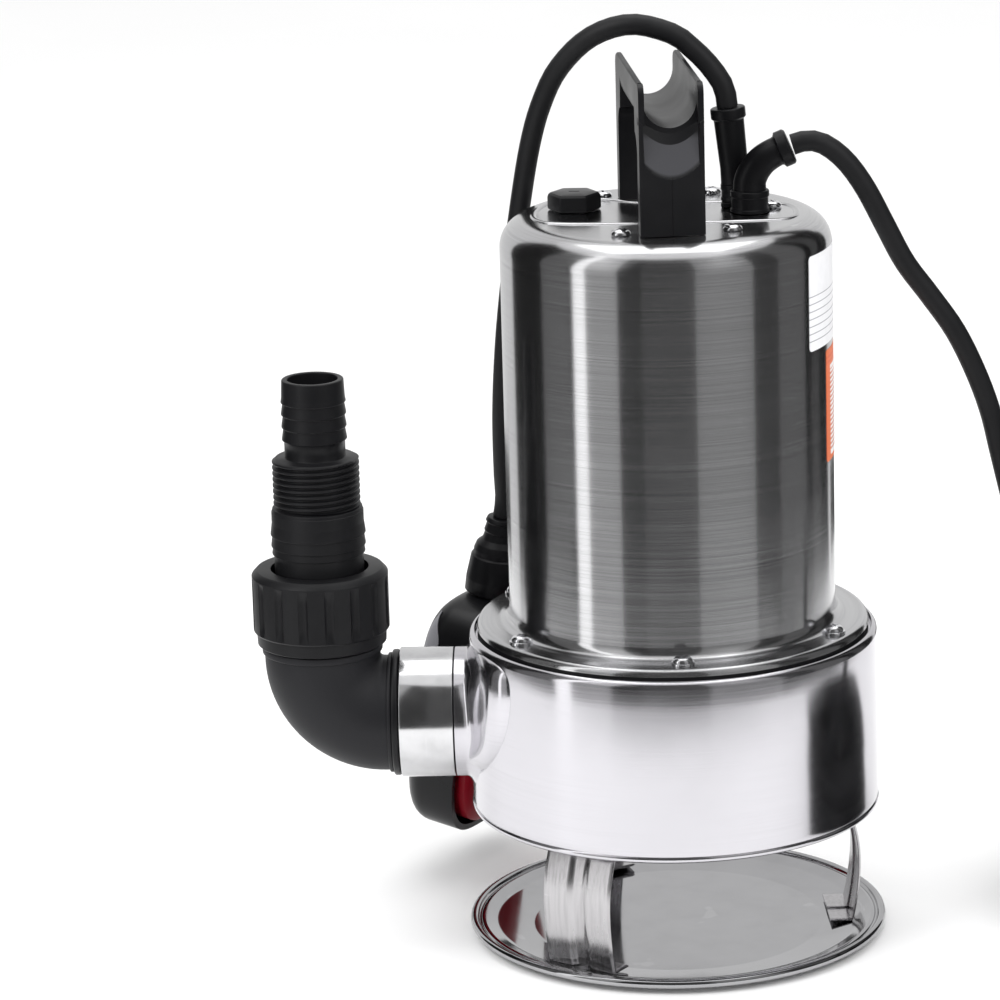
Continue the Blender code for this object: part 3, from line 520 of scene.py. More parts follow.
CAST = steel("cast_motor_steel", (0.36, 0.37, 0.39), 0.42, (900, 900, 900), 0.000030, 0.0, 0.12)
COPPER = steel("copper_winding_wire", (0.62, 0.29, 0.13), 0.32, (120, 120, 1900), 0.000060, 0.0, 0.10)
CERAMIC = moulded("seal_ceramic_white", (0.78, 0.77, 0.72), 0.25, 1500.0, 0.000006, 0.05)
LABEL_WHITE = ruled("white_label", (0.86, 0.86, 0.88), (0.30, 0.30, 0.33), 0.2377, 0.2572, 0.0028, 0.12)
LABEL_ORANGE = ruled("orange_label", (0.80, 0.17, 0.05), (0.70, 0.12, 0.04), 0.2262, 0.2300, 0.0019, 0.50)
LABEL_BARS = ruled("label_panel", (0.88, 0.86, 0.86), (0.62, 0.20, 0.12), 0.1925, 0.2235, 0.0018, 0.45)


# ---- camera and stage
CAMERA_AT = (0.0, -1.7148, 0.6318)
CAMERA_TURN = (-2.16, 15.03, -1.63)  # yaw, pitch and roll, in degrees
LENS = 168.19  # in mm, for a sensor 36 mm wide


def camera():
    """A long lens a little above the pump."""
    yaw, pitch, roll = (math.radians(a) for a in CAMERA_TURN)
    ahead = Vector((math.sin(yaw) * math.cos(pitch), math.cos(yaw) * math.cos(pitch), -math.sin(pitch)))
    level = Vector((math.cos(yaw), -math.sin(yaw), 0.0))
    upright = level.cross(ahead)
    across = math.cos(roll) * level + math.sin(roll) * upright
    up = math.cos(roll) * upright - math.sin(roll) * level
    lens = bpy.data.cameras.new("camera")
    lens.lens = LENS
    lens.sensor_width = 36.0
    lens.clip_end = 50.0
    eye = linked("camera", lens)
    eye.matrix_world = axes(across, up, -ahead, CAMERA_AT)
    bpy.context.scene.camera = eye


def floor():
    """A wide pale floor."""
    made = Finish("pale_floor", (0.93, 0.93, 0.93), 0.65)
    tones = (0.3, (0.92, 0.92, 0.92)), (0.7, (0.94, 0.94, 0.94))
    made.feed("Base Color", made.ramp(made.noise(3.0), *tones))
    wide = 12.0
    corners = [(-wide, -wide, 0), (wide, -wide, 0), (wide, wide, 0), (-wide, wide, 0)]
    mesh = bpy.data.meshes.new("floor")
    mesh.from_pydata(corners, [], [(0, 1, 2, 3)])
    mesh.materials.append(made.material)
    linked("floor", mesh)


# The studio's cards, seen only in reflections: the angle each starts at and how light it is.
# The angles run in degrees from the camera round by +X.
CARDS = (
    (-180, 0.80), (-119, 0.03), (-110, 0.02), (-80, 0.16), (-58, 0.05), (-54, 1.60), (-45.5, 0.40),
    (-26, 0.05), (-13, 0.09), (15, 0.28), (49, 0.06), (68, 0.14), (95, 0.01), (103, 0.08), (116, 0.02),
    (133, 0.80),
)
CARD_R = 0.50
CARD_Y = 0.09  # the ring's centre, behind the shaft
CARD_LEVELS = (0.0, 0.055, 0.85)
DARK_FOOT = 0.04  # how light the cards' feet are behind the pump
BEHIND = 140  # degrees from the camera


def cards():
    """A round wall of light and dark cards, which gives the steel its bands."""
    made = bpy.data.materials.new("studio_cards")
    made.use_nodes = True
    tree = made.node_tree
    tree.nodes.clear()
    glow = tree.nodes.new("ShaderNodeEmission")
    shade = tree.nodes.new("ShaderNodeAttribute")
    shade.attribute_name = "shade"
    out = tree.nodes.new("ShaderNodeOutputMaterial")
    tree.links.new(shade.outputs["Fac"], glow.inputs["Strength"])
    tree.links.new(glow.outputs[0], out.inputs["Surface"])
    steps = 720
    mesh = bpy.data.meshes.new("studio_cards")
    vertices, faces, shades = [], [], []
    for n in range(steps):
        degrees = n * 360 / steps - 180
        a = math.radians(degrees)
        for z in CARD_LEVELS:
            vertices.append((CARD_R * math.sin(a), CARD_Y - CARD_R * math.cos(a), z))
        after = (n + 1) % steps
        light = max((start, light) for start, light in CARDS if start <= degrees)[1]
        foot = DARK_FOOT if abs(degrees) > BEHIND else light
        for level, card_light in enumerate((foot, light)):
            here, there = 3 * n + level, 3 * after + level
            faces.append((here, there, there + 1, here + 1))
            shades.append(card_light)
    mesh.from_pydata(vertices, [], faces)
    mesh.attributes.new("shade", "FLOAT", "FACE").data.foreach_set("value", shades)
    mesh.materials.append(made)
    obj = linked("studio_cards", mesh)
    obj.visible_camera = obj.visible_diffuse = obj.visible_transmission = obj.visible_shadow = False


def lights():
    world = bpy.data.worlds.new("studio")
    world.use_nodes = True
    sky = world.node_tree.nodes["Background"].inputs
    sky["Color"].default_value = (1.0, 1.0, 1.0, 1.0)
    sky["Strength"].default_value = 1.0
    bpy.context.scene.world = world
    for name, place, size, power in (
        ("key_left", (-0.85, -0.75, 1.15), (0.55, 0.75), 9.0),
        ("key_right", (0.80, -0.85, 1.15), (0.60, 0.75), 7.0),
        ("top", (0.0, 0.35, 1.60), (1.20, 0.90), 6.0),
    ):
        lamp = bpy.data.lights.new(name, "AREA")
        lamp.shape = "RECTANGLE"
        lamp.size, lamp.size_y = size
        lamp.energy = power
        linked(name, lamp).matrix_world = along(Vector(place) - Vector((0, 0, 0.16)), place)
    bpy.context.scene.view_settings.view_transform = "Standard"


# ---- cords
def coil_point(degrees, radius, z):
    return Vector((*polar(radius, degrees, COIL_CENTRE), z))


def round_coil(point):
    """A point's angle round the coil, in degrees, and its distance from the coil's axis."""
    away = point.to_2d() - Vector(COIL_CENTRE)
    return math.degrees(math.atan2(away.y, away.x)) % 360, away.length


def coil_points():
    """The stored turns: five layers, wound in and out by turns, from the top layer to the bottom one."""
    half = TURNS / COIL_LAYERS * CABLE_R
    step_turns = 0.10  # over which the cord steps down to the next layer
    per_turn = 24
    total = round(TURNS * per_turn)
    points = []
    for n in range(total + 1):
        turned = n / per_turn
        layer = min(COIL_LAYERS - 1, int(turned / TURNS * COIL_LAYERS))
        share = turned / TURNS * COIL_LAYERS - layer
        inward = layer % 2 == 0
        radius = COIL_R + (half - 2 * half * share) * (1 if inward else -1)
        near_end = (1 - share) * TURNS / COIL_LAYERS
        near_start = share * TURNS / COIL_LAYERS
        drop = 0.0
        if layer < COIL_LAYERS - 1 and near_end < step_turns:
            drop = 0.5 * (1 - near_end / step_turns) ** 2
        if layer > 0 and near_start < step_turns:
            drop = -0.5 * (1 - near_start / step_turns) ** 2
        z = COIL_BOTTOM + 2 * CABLE_R * (COIL_LAYERS - 1 - layer - drop)
        points.append(coil_point(COIL_START + 360 * turned, radius, z))
    return points


def cord_onto_coil(last, first):
    """From the route's end on top of the coil, out and down into the top layer."""
    start, from_r = round_coil(last)
    to_r = round_coil(first)[1]
    points = []
    count = 8
    for n in range(1, count):
        t = n / count
        radius = from_r + (to_r - from_r) * min(1.0, 1.35 * between(t, 0, 1))
        z = last.z + (first.z - last.z) * between(t, 0.5, 1)
        points.append(coil_point(start + (COIL_START - start) * t, radius, z))
    return points


def coil_onto_tail(last, first):
    """From the coil's inmost turn, eased in and down to where the cord's tail starts."""
    start, from_r = round_coil(last)
    end, to_r = round_coil(first)
    points = []
    for n in range(1, 4):
        t = n / 4
        radius = from_r + (to_r - from_r) * t * t
        points.append(coil_point(start + (end - start) * t, radius, last.z + (first.z - last.z) * t))
    return points


def power_cord():
    route = smooth_path(POWER_CORD_ROUTE, 0.0040)
    coil = coil_points()
    tail = smooth_path(CORD_TAIL_ROUTE[::-1], 0.0060)
    onto = cord_onto_coil(route[-1], coil[0])
    points = [*route, *onto, *coil, *coil_onto_tail(coil[-1], tail[0]), *tail]
    curve = bpy.data.curves.new("supply_cord", "CURVE")
    curve.dimensions = "3D"
    curve.bevel_depth = CABLE_R
    curve.bevel_resolution = 6
    curve.use_fill_caps = True
    spline = curve.splines.new("POLY")
    spline.points.add(len(points) - 1)
    for knot, point in zip(spline.points, points):
        knot.co = (*point, 1.0)
    spline.use_smooth = True
    curve.materials.append(CORD.material)
    obj = linked("supply_cord", curve)
    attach(obj, "pump")
    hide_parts("power_cord", "power_cord_coil", "power_cord_tail")


def float_axes():
    """The float's own axes from its top: X across its width, Y out of its outer face, Z up its length."""
    turn, lean = math.radians(FLOAT_TURN), math.radians(FLOAT_LEAN)
    outward = Vector((-math.cos(turn), math.sin(turn), 0))
    across = Vector((math.sin(turn), math.cos(turn), 0))
    up = Vector((0, 0, math.cos(lean))) - outward * math.sin(lean)
    face = across.cross(up) * -1
    return axes(across, face, up, Vector(BOOT_TOP) - up * BOOT_LENGTH)


def float_cable():
    before = float_axes() @ Vector((0, 0, BOOT_LENGTH + 0.0080))
    path = smooth_path((*FLOAT_CABLE_ROUTE, before, BOOT_TOP), 0.0045)
    obj = piece("float_cable_sheath", tubing(path, [CABLE_R] * len(path), 24), CORD, None, ["float_cable"])
    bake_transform(obj)


# ---- small shape tools
def carved(shape, *cutters):
    """A shape with others cut out of it."""
    temporary = [linked("temporary", clean_mesh("temporary", solid)) for solid in (shape, *cutters)]
    target, *tools = temporary
    for tool in tools:
        cut = target.modifiers.new("Cut", "BOOLEAN")
        cut.operation = "DIFFERENCE"
        cut.solver = "EXACT"
        cut.object = tool
    depsgraph = bpy.context.evaluated_depsgraph_get()
    mesh = bpy.data.meshes.new_from_object(target.evaluated_get(depsgraph))
    for obj in temporary:
        bpy.data.objects.remove(obj, do_unlink=True)
    return [tuple(v.co) for v in mesh.vertices], [tuple(p.vertices) for p in mesh.polygons]


def block(low, high):
    outline = [(low[0], low[1]), (high[0], low[1]), (high[0], high[1]), (low[0], high[1])]
    return prism(outline, low[2], high[2])


def loop_bead(route, half_width, height):
    """A low rounded bead along a closed route on a level face."""
    points = smooth_path((*route, route[0]), 0.0015)[:-1]
    upright = Vector((0, 0, 1))
    rows = []
    for n, point in enumerate(points):
        run = (points[(n + 1) % len(points)] - points[n - 1]).normalized()
        side = run.cross(upright) * half_width
        rows.append([point + side * math.cos(a) + upright * height * math.sin(a) for a in turns(12)])
    return skinned(rows, ring_rows=True)


def between(value, low, high):
    """0 below low, 1 above high, and a smooth run between."""
    t = min(1.0, max(0.0, (value - low) / (high - low)))
    return t * t * (3 - 2 * t)


# ---- base and pump casing
def base_plate():
    """A shallow dish with a groove inside its rolled rim."""
    profile = rounded([
        (0, 0.0010), (0.0560, 0.0010, 0.0100), (0.0700, 0.0028, 0.0100), (0.0750, 0.0046, 0.0010),
        (0.0762, 0.0044, 0.0006), (0.0769, 0.0036, 0.0005), (0.0777, 0.0046, 0.0004),
    ], closed=False)
    profile += arc((0.0790, 0.0040), 0.0016, 140, -110, 14)
    profile += [(0.0750, 0.0028), (0.0700, 0.0014), (0.0560, 0), (0, 0)]
    # The dish takes the polished stainless whose colour is darkened as painted shade.
    piece("base_plate_dish", turning(profile, 160, ring=False), PAINTED_SHADE_MIRROR, nodes=["base_plate"])


LEG_LINE = (
    (0.0530, 0.0514), (0.0605, 0.0514), (0.0640, 0.0495), (0.0668, 0.0440), (0.0688, 0.0360),
    (0.0695, 0.0270), (0.0688, 0.0160), (0.0668, 0.0042), (0.0655, 0.0032), (0.0580, 0.0032),
)
LEG_WIDTH = 0.0300
SHEET = 0.0010


def leg():
    """A bowed strip with a shallow channel pressed down its middle, folded inward at the foot."""
    path = smooth_path([(r, 0, z) for r, z in LEG_LINE], 0.0012)
    across = [LEG_WIDTH * (n / 60 - 0.5) for n in range(61)]
    rows = []
    for n, point in enumerate(path):
        run = (path[min(n + 1, len(path) - 1)] - path[max(n - 1, 0)]).normalized()
        aside = Vector((-run.z, 0, run.x))
        row = []
        for w in across:
            channel = -0.0009 * (1 - between(abs(w), 0.0020, 0.0046))
            edge = -0.0003 * between(abs(w), LEG_WIDTH / 2 - 0.0010, LEG_WIDTH / 2)
            place = point + Vector((0, w, 0))
            front, back = SHEET / 2 + channel + edge, -SHEET / 2 + channel - edge
            row.append((place + aside * front, place + aside * back))
        rows.append(row)
    return slab(rows)


def legs():
    strip = leg()
    for name, degrees in LEG_ANGLES.items():
        piece(name + "_strip", strip, STRIP, nodes=[name], matrix=spin(degrees))


def suction_plate():
    """A disc with its inlet hole's edge turned down."""
    shape = lathe([
        (0.0190, 0.0500), (0.0215, 0.0533, 0.0020), (0.0240, 0.0542, 0.0010), (0.0765, 0.0542),
        (0.0765, 0.0530), (0.0248, 0.0530, 0.0010), (0.0226, 0.0520, 0.0010), (0.0205, 0.0492),
    ])
    piece("suction_plate_disc", shape, SATIN, nodes=["suction_plate"])


def pump_casing():
    """The cup: a small shoulder at the top and a rolled bead at the foot, opened for the outlet."""
    profile = [(0.0640, LEDGE_Z), (0.0757, LEDGE_Z), (0.0757, 0.1208)]
    profile += arc((0.0750, 0.1183), 0.0030, 72, 0, 8)
    profile += [(CASING_R, 0.1100), (CASING_R, 0.0800), (CASING_R, 0.0560), (0.0781, 0.0541)]
    profile += arc((0.0770, 0.0525), 0.0014, 50, -90, 9)
    profile += [(0.0762, 0.0514), (0.0762, 0.0526), (0.0769, 0.0540), (0.0769, 0.1162)]
    profile += [(0.0758, 0.1181), (0.0640, 0.1181)]
    hole = moved(prism(arc((0, 0), OUTLET_BORE, 0, 356, 90), 0.0600, 0.0900), TOWARDS_OUTLET)
    shape = carved(turning(profile, 192), hole)
    piece("pump_casing_cup", shape, SATIN, nodes=["pump_casing"])


def outlet_bulge():
    """The pressed saddle that the outlet grows out of: wide at the top and front, a plain fillet below."""
    rows = [[] for _ in range(20)]
    low = 0.0298
    for angle in turns(144):
        turn = math.degrees(math.asin(math.sin(angle)))
        facing = math.cos(angle)
        wide = max(low, 0.0430 + 0.00041 * turn)
        limit = 0.0316 / max(0.05, math.sin(math.radians(max(turn, 1.0))))
        crease = 1 / (wide**-12 + limit**-12) ** (1 / 12)
        dome = between(crease, low, 0.0434)
        side = crease * math.cos(math.radians(turn))
        wall = -math.sqrt((CASING_R - 0.0009) ** 2 - side**2)
        knots = (
            (-0.0800, OUTLET_R),
            (-0.0786 + 0.0054 * dome, OUTLET_R + 0.0001 + 0.0004 * dome),
            (-0.0779 + 0.0024 * dome, crease - 0.0036 * (1 - dome) - 0.0012 * dome),
            (wall, crease + 0.0004),
        )
        profile = [(WELD_X + 0.0002, OUTLET_R - 0.0003), (WELD_X + 0.0004, OUTLET_R)]
        for step in range(15):
            t = step / 14
            weights = ((1 - t) ** 3, 3 * t * (1 - t) ** 2, 3 * t * t * (1 - t), t**3)
            profile.append(tuple(sum(w * k[i] for w, k in zip(weights, knots)) for i in (0, 1)))
        profile += [(wall + 0.0012, crease), (-0.0740, 0.0236), (WELD_X + 0.0002, OUTLET_BORE)]
        around = math.radians(turn)
        for row, (x, r) in zip(rows, profile):
            row.append((x, math.copysign(1, -facing) * r * math.cos(around), OUTLET_Z + r * math.sin(around)))
    piece("outlet_saddle", skinned(rows, ring_rows=True), SATIN)


def outlet_socket():
    start, end = 0.0002 - WELD_X, -OUTLET_END_X
    shape = lathe([
        (OUTLET_BORE, start), (OUTLET_R, start, 0.0002), (OUTLET_R, end, 0.0004), (OUTLET_BORE, end, 0.0004),
    ], 160)
    piece("outlet_stub", shape, POLISHED, nodes=["outlet_socket"], matrix=TOWARDS_OUTLET)


def casing_gasket():
    ring = [(0.0720, 0.1194), (0.0747, 0.1194), (0.0744, 0.1221), (0.0720, 0.1221)]
    piece("casing_gasket_ring", turning(ring, 160), RUBBER, nodes=["casing_gasket"])


# ---- motor
TOP_BEAD = (
    (-0.0440, -0.0130), (-0.0300, -0.0162), (0.0, -0.0168), (0.0300, -0.0160), (0.0455, -0.0130),
    (0.0492, 0.0), (0.0455, 0.0130), (0.0300, 0.0190), (0.0080, 0.0200), (-0.0100, 0.0225),
    (-0.0235, 0.0300), (-0.0350, 0.0325), (-0.0440, 0.0240), (-0.0488, 0.0080), (-0.0485, -0.0050),
)


def motor_casing():
    """A deep cup with a pressed line on its top and a screwed flange at its foot."""
    outside = rounded([
        (0, MOTOR_TOP), (MOTOR_R, MOTOR_TOP, MOTOR_EDGE), (MOTOR_R, 0.1256, 0.0045),
        (0.0743, 0.1250, 0.0026), (0.0748, 0.1223),
    ], closed=False, count=16)
    inside = rounded([
        (0.0739, 0.1223), (0.0732, 0.1238, 0.0010), (0.0612, 0.1243, 0.0040),
        (0.0612, 0.2796, 0.0100), (0, 0.2796),
    ], closed=False, count=8)
    flat = [(0.0100 * n, MOTOR_TOP) for n in range(1, 6)]
    shell = turning(outside[:1] + flat + outside[1:] + inside, 192, ring=False)
    bead = loop_bead([(x, y, MOTOR_TOP - 0.0001) for x, y in TOP_BEAD], 0.0013, 0.0007)
    piece("motor_casing_cup", together(shell, bead), BRUSHED, nodes=["motor_casing"])


def pan_head(length):
    """A pan-head screw with a cross recess, its head resting on the XY plane."""
    profile = [(0, 0.0022), (0.0012, 0.00216), (0.0022, 0.0020), (0.0030, 0.0016), (0.0035, 0.0010)]
    profile += [(0.0037, 0.0005), (0.0037, 0.0002), (0.0035, 0), (0.0020, 0)]
    profile += [(0.0020, -length), (0, -length)]
    long, thin = 0.0022, 0.00045
    cross = [
        (long, -thin), (long, thin), (thin, thin), (thin, long), (-thin, long), (-thin, thin),
        (-long, thin), (-long, -thin), (-thin, -thin), (-thin, -long), (thin, -long), (thin, -thin),
    ]
    recess = skinned([[(0.5 * x, 0.5 * y, 0.0006) for x, y in cross], [(x, y, 0.0026) for x, y in cross]])
    return carved(turning(profile, 48, ring=False), recess)


def screws():
    washer = lathe([(0.0022, -0.0011), (0.0044, -0.0011), (0.0044, 0, 0.0002), (0.0022, 0)], 48)
    for kind, (ring, height, angles, length) in {"flange": FLANGE_SCREWS, "cover": COVER_SCREWS}.items():
        shape = pan_head(length)
        if kind == "flange":
            shape = together(shape, washer)
        for n, degrees in enumerate(angles, 1):
            seat = at(*polar(ring, degrees), height) @ spin(37 * n)
            name = f"{kind}_screw_{n}"
            piece(name + "_pan_head", shape, CHROME, nodes=[name], matrix=seat)


def vent_plug():
    """A six-sided cap with chamfered edges and a small slot on top."""
    outline = rounded([(*polar(0.0106, 60 * n), 0.0012) for n in range(6)], count=4)
    levels = (0.93, 0), (0.97, 0.0006), (0.97, 0.0046), (0.94, 0.0056), (0.86, 0.0063), (0.70, 0.0066)
    rows = [[(scale * x, scale * y, z) for x, y in outline] for scale, z in levels]
    slot = block((-0.0020, -0.0005, 0.0052), (0.0020, 0.0005, 0.0080))
    shape = carved(skinned(rows), slot)
    seat = at(*VENT_XY, SEAT_Z) @ spin(-2)
    piece("vent_plug_cap", shape, BLACK_GLOSS, nodes=["vent_plug"], matrix=seat, crease=25)


def glands():
    """The two cords' glands, the float's on its diamond plate and with its straight, collared sleeve."""
    collar = lathe([
        (0, GLAND_TOP), (0.0073, GLAND_TOP, 0.0007), (0.0073, GLAND_TOP - 0.0022, 0.0003),
        (0.0069, GLAND_TOP - 0.0027, 0.0003), (0.0069, SEAT_Z + 0.0014, 0.0004),
        (0.0073, SEAT_Z + 0.0010, 0.0003), (0.0073, SEAT_Z), (0, SEAT_Z),
    ], 64, ring=False)
    piece("power_gland_collar", collar, RUBBER, nodes=["power_gland"], matrix=at(*POWER_GLAND_XY))
    outline = [(0.0092, 0, 0.0012), (0, 0.0068, 0.0030), (-0.0092, 0, 0.0012), (0, -0.0068, 0.0030)]
    plate = prism(rounded(outline), 0, 0.0016)
    place = at(*FLOAT_GLAND_XY, SEAT_Z)
    piece("gland_base", plate, RUBBER, nodes=["gland_plate"], matrix=place @ spin(50), bevel=0.0004)
    tall = GLAND_TOP - SEAT_Z
    neck = lathe([
        (0, tall), (0.0058, tall, 0.0006), (0.0058, tall - 0.0022), (0.0055, tall - 0.0026),
        (0.0055, 0.0030, 0.0004), (0.0058, 0.0026, 0.0003), (0.0058, 0.0018), (0, 0.0018),
    ], 64, ring=False)
    piece("float_gland_neck", neck, RUBBER, nodes=["float_gland"], matrix=place)
    start = Vector((*FLOAT_GLAND_XY, GLAND_TOP + 0.0002))
    run = Vector(FLOAT_CABLE_ROUTE[0]) - start
    tall = run.length - GAP
    sleeve = lathe([
        (0, tall), (0.0066, tall, 0.0007), (0.0066, tall - 0.0038, 0.0005), (0.0057, tall - 0.0046, 0.0006),
        (0.0053, 0.0060), (0.0056, 0.0002), (0, 0.0002),
    ], 64, ring=False)
    piece("float_cable_sleeve", sleeve, RUBBER, nodes=["float_sleeve"], matrix=along(run, start))


def power_sleeve():
    """The supply cord's bent, tapered strain relief with a collar round its mouth."""
    path = smooth_path(POWER_SLEEVE_ROUTE, 0.0007)
    run = (path[-1] - path[-2]).normalized()
    path = [path[0] - Vector((0, 0, 0.0010)), *path, *(path[-1] + run * 0.0004 * n for n in range(1, 6))]
    total = path_length(path)
    radii = []
    done = 0.0
    for n, point in enumerate(path):
        done += (point - path[n - 1]).length if n else 0.0
        left = total - done
        taper = 0.0062 - 0.0009 * done / total
        collar = between(left, 0.0050, 0.0042)
        rounding = 0.0008 * (1 - between(left, 0.0, 0.0007))
        radii.append(taper + (0.0069 - taper) * collar - rounding)
    piece("power_cord_sleeve", tubing(path, radii, 48), RUBBER, nodes=["power_sleeve"])


# ---- handle
HANDLE_HALF = 0.0390
HANDLE_SIDE = 0.0120
HANDLE_TOP = 0.3370
HANDLE_FOOT = SEAT_Z
HANDLE_LEG = 0.0070
GRIP_AXIS_Z = 0.3298
GUTTER_R = 0.0098
ARCH_R = 0.0080
END_R = 0.0045
WALL_RIM = 0.0005  # the chamfer along the gutter's walls
# Stands a prism's outline in the YZ plane.
SIDEWAYS = Matrix(((0, 0, 1, 0), (1, 0, 0, 0), (0, 1, 0, 0), (0, 0, 0, 1)))


def handle_section(y):
    """The handle's outline in the XZ plane at a distance y along it."""
    inward = HANDLE_HALF - HANDLE_LEG - abs(y)
    grip_low = GRIP_AXIS_Z - HANDLE_SIDE
    past = max(0.0, y - HANDLE_HALF + END_R)
    top = HANDLE_TOP - END_R + math.sqrt(END_R**2 - past**2)
    points = []
    for n in range(25):
        x = HANDLE_SIDE * math.sin(math.pi * (n / 24 - 0.5))
        under = GRIP_AXIS_Z - math.sqrt(max(0.0, HANDLE_SIDE**2 - x * x))
        if inward <= 0:
            under = HANDLE_FOOT
        elif inward < ARCH_R:
            under = min(under, grip_low - ARCH_R + math.sqrt(ARCH_R**2 - (ARCH_R - inward) ** 2))
        points.append((x, y, under))
    wall = [
        (HANDLE_SIDE, y, top - WALL_RIM), (HANDLE_SIDE - WALL_RIM, y, top),
        (GUTTER_R + WALL_RIM, y, top), (GUTTER_R, y, top - WALL_RIM),
    ]
    gutter = [(x, y, z) for x, z in arc((0, GRIP_AXIS_Z), GUTTER_R, 0, -180, 25)]
    return points + wall + gutter + [(-x, y, z) for x, y, z in wall[::-1]]


def handle_face():
    """The near leg's face: glossy and upright, then a recessed panel that leans back between two ribs."""
    across = [-0.0120, -0.0116, -0.0110, -0.0104, -0.0102]
    across += [0.0008 * n for n in range(-12, 0)] + [-0.0003, -0.0001]
    across += [-x for x in across[::-1]]
    rows = []
    levels = 90
    for level in range(levels + 1):
        row = []
        for x in across:
            share = (x / HANDLE_SIDE) ** 2
            top = 0.3195 + 0.0050 * share
            z = HANDLE_FOOT + (top - HANDLE_FOOT) * level / levels
            border = 0.3020 + 0.0075 * share
            panel = between(abs(x), 0.0104, 0.0102) if abs(x) > 0.0101 else 1.0
            depth = panel * (0.0004 * between(z, border, border + 0.0005) + 0.30 * max(0.0, z - border))
            parting = 0.0002 if abs(x) < 0.0002 and z < border else 0.0
            corner = 0.0006 * between(abs(x), 0.0114, 0.0120)
            lip = 0.0010 * between(z, top - 0.0010, top)
            front = -HANDLE_HALF + depth + parting + corner + lip
            row.append(((x, front, z), (x, -HANDLE_HALF + 0.0058, z)))
        rows.append(row)
    return slab(rows)


def handle_finish():
    """The handle's black, with the near leg's recessed panel paler and duller below its lip."""
    made = HANDLE_BLACK
    apart = made.node("SeparateXYZ", {"Vector": made.here}).outputs
    near = made.maths("LESS_THAN", apart[1], 0.004 - HANDLE_HALF)
    middle = made.maths("LESS_THAN", made.maths("ABSOLUTE", apart[0]), 0.0100)
    border = made.maths("MULTIPLY", made.maths("POWER", apart[0], 2.0), 52.0)
    above = made.spread(made.maths("SUBTRACT", apart[2], border), 0.3024, 0.3036)
    height = made.maths("MULTIPLY", above, made.spread(apart[2], 0.3190, 0.3160))
    share = made.maths("MULTIPLY", made.maths("MULTIPLY", near, middle), height)
    base = made.shader.inputs["Base Color"].links[0].from_socket
    made.feed("Base Color", made.mix(share, base, (0.045, 0.045, 0.050)))
    rough = made.shader.inputs["Roughness"].links[0].from_socket
    return made.feed("Roughness", made.maths("ADD", rough, made.maths("MULTIPLY", share, 0.22)))


def handle():
    """One moulding: a gutter-shaped grip on two legs, with a finger opening between them."""
    inner = HANDLE_HALF - HANDLE_LEG
    stations = [-HANDLE_HALF + 0.0052, -inner - 0.00001]
    stations += [-inner + ARCH_R * (1 - math.cos(math.pi * n / 24)) for n in range(13)]
    stations += [-0.0160 + 0.0080 * n for n in range(5)]
    stations += [-y for y in stations[-6:1:-1]]
    stations += [inner + 0.00001]
    stations += [HANDLE_HALF - END_R * (1 - math.sin(math.pi * n / 16)) for n in range(8)]
    body = skinned([handle_section(y) for y in stations])
    near, far = -HANDLE_HALF + 0.0004, -HANDLE_HALF + 0.0056
    foot, top = 0.3220, HANDLE_TOP - 0.0002
    tip = rounded([(near, foot), (far, foot), (far, top), (near, top, 0.0042)], count=9)
    ends = [(-HANDLE_SIDE, -GUTTER_R), (GUTTER_R, HANDLE_SIDE)]
    wall_ends = [moved(prism(tip, low, high), SIDEWAYS) for low, high in ends]
    back = HANDLE_HALF - 0.0006
    grooves = [block((-0.0100, back, z), (0.0100, 0.0500, z + 0.0010)) for z in (0.2940, 0.2965, 0.2990)]
    shape = together(carved(body, *grooves), handle_face(), *wall_ends)
    stand = at(*HANDLE_CENTRE) @ spin(HANDLE_YAW)
    piece("carrying_handle", shape, handle_finish(), nodes=["handle"], matrix=stand, crease=32)


# ---- outlet
RISER = at(RISER_X, 0)
HAIR = 0.0001  # either side of a height or radius, so that rounding leaves no point out


def elbow():
    """A bent pipe with a collar at each end."""
    corner = (RISER_X + ELBOW_BEND, OUTLET_Z + ELBOW_BEND)
    points = [(-0.0870, 0.0, OUTLET_Z), (-0.0980, 0.0, OUTLET_Z)]
    points += [(x, 0.0, z) for x, z in arc(corner, ELBOW_BEND, 270, 180, 28)]
    points += [(RISER_X, 0.0, 0.1180), (RISER_X, 0.0, 0.1340)]
    pipe = tubing(points, [ELBOW_R] * len(points), 96, [0.0190] * len(points))
    stub_collar = lathe([
        (0.0215, 0.1079), (0.0231, 0.1079, 0.0003), (0.0231, 0.1094, 0.0005), (0.0215, 0.1096),
    ])
    top_collar = lathe([
        (0.0215, 0.1128), (0.0231, 0.1132, 0.0005), (0.0231, 0.1158, 0.0004), (0.0215, 0.1160),
    ])
    shape = together(pipe, moved(stub_collar, TOWARDS_OUTLET), moved(top_collar, RISER))
    piece("outlet_elbow", shape, BLACK_MATT, "outlet", ["elbow"])
    ring = lathe([(0.0223, 0.1051), (0.0243, 0.1051, 0.0008), (0.0243, 0.1078, 0.0008), (0.0223, 0.1078)])
    piece("elbow_o_ring", ring, RUBBER, "outlet", ["elbow_seal"], TOWARDS_OUTLET)


NUT_BOTTOM = 0.1165
NUT_TOP = 0.1460
NUT_GROOVES = 16


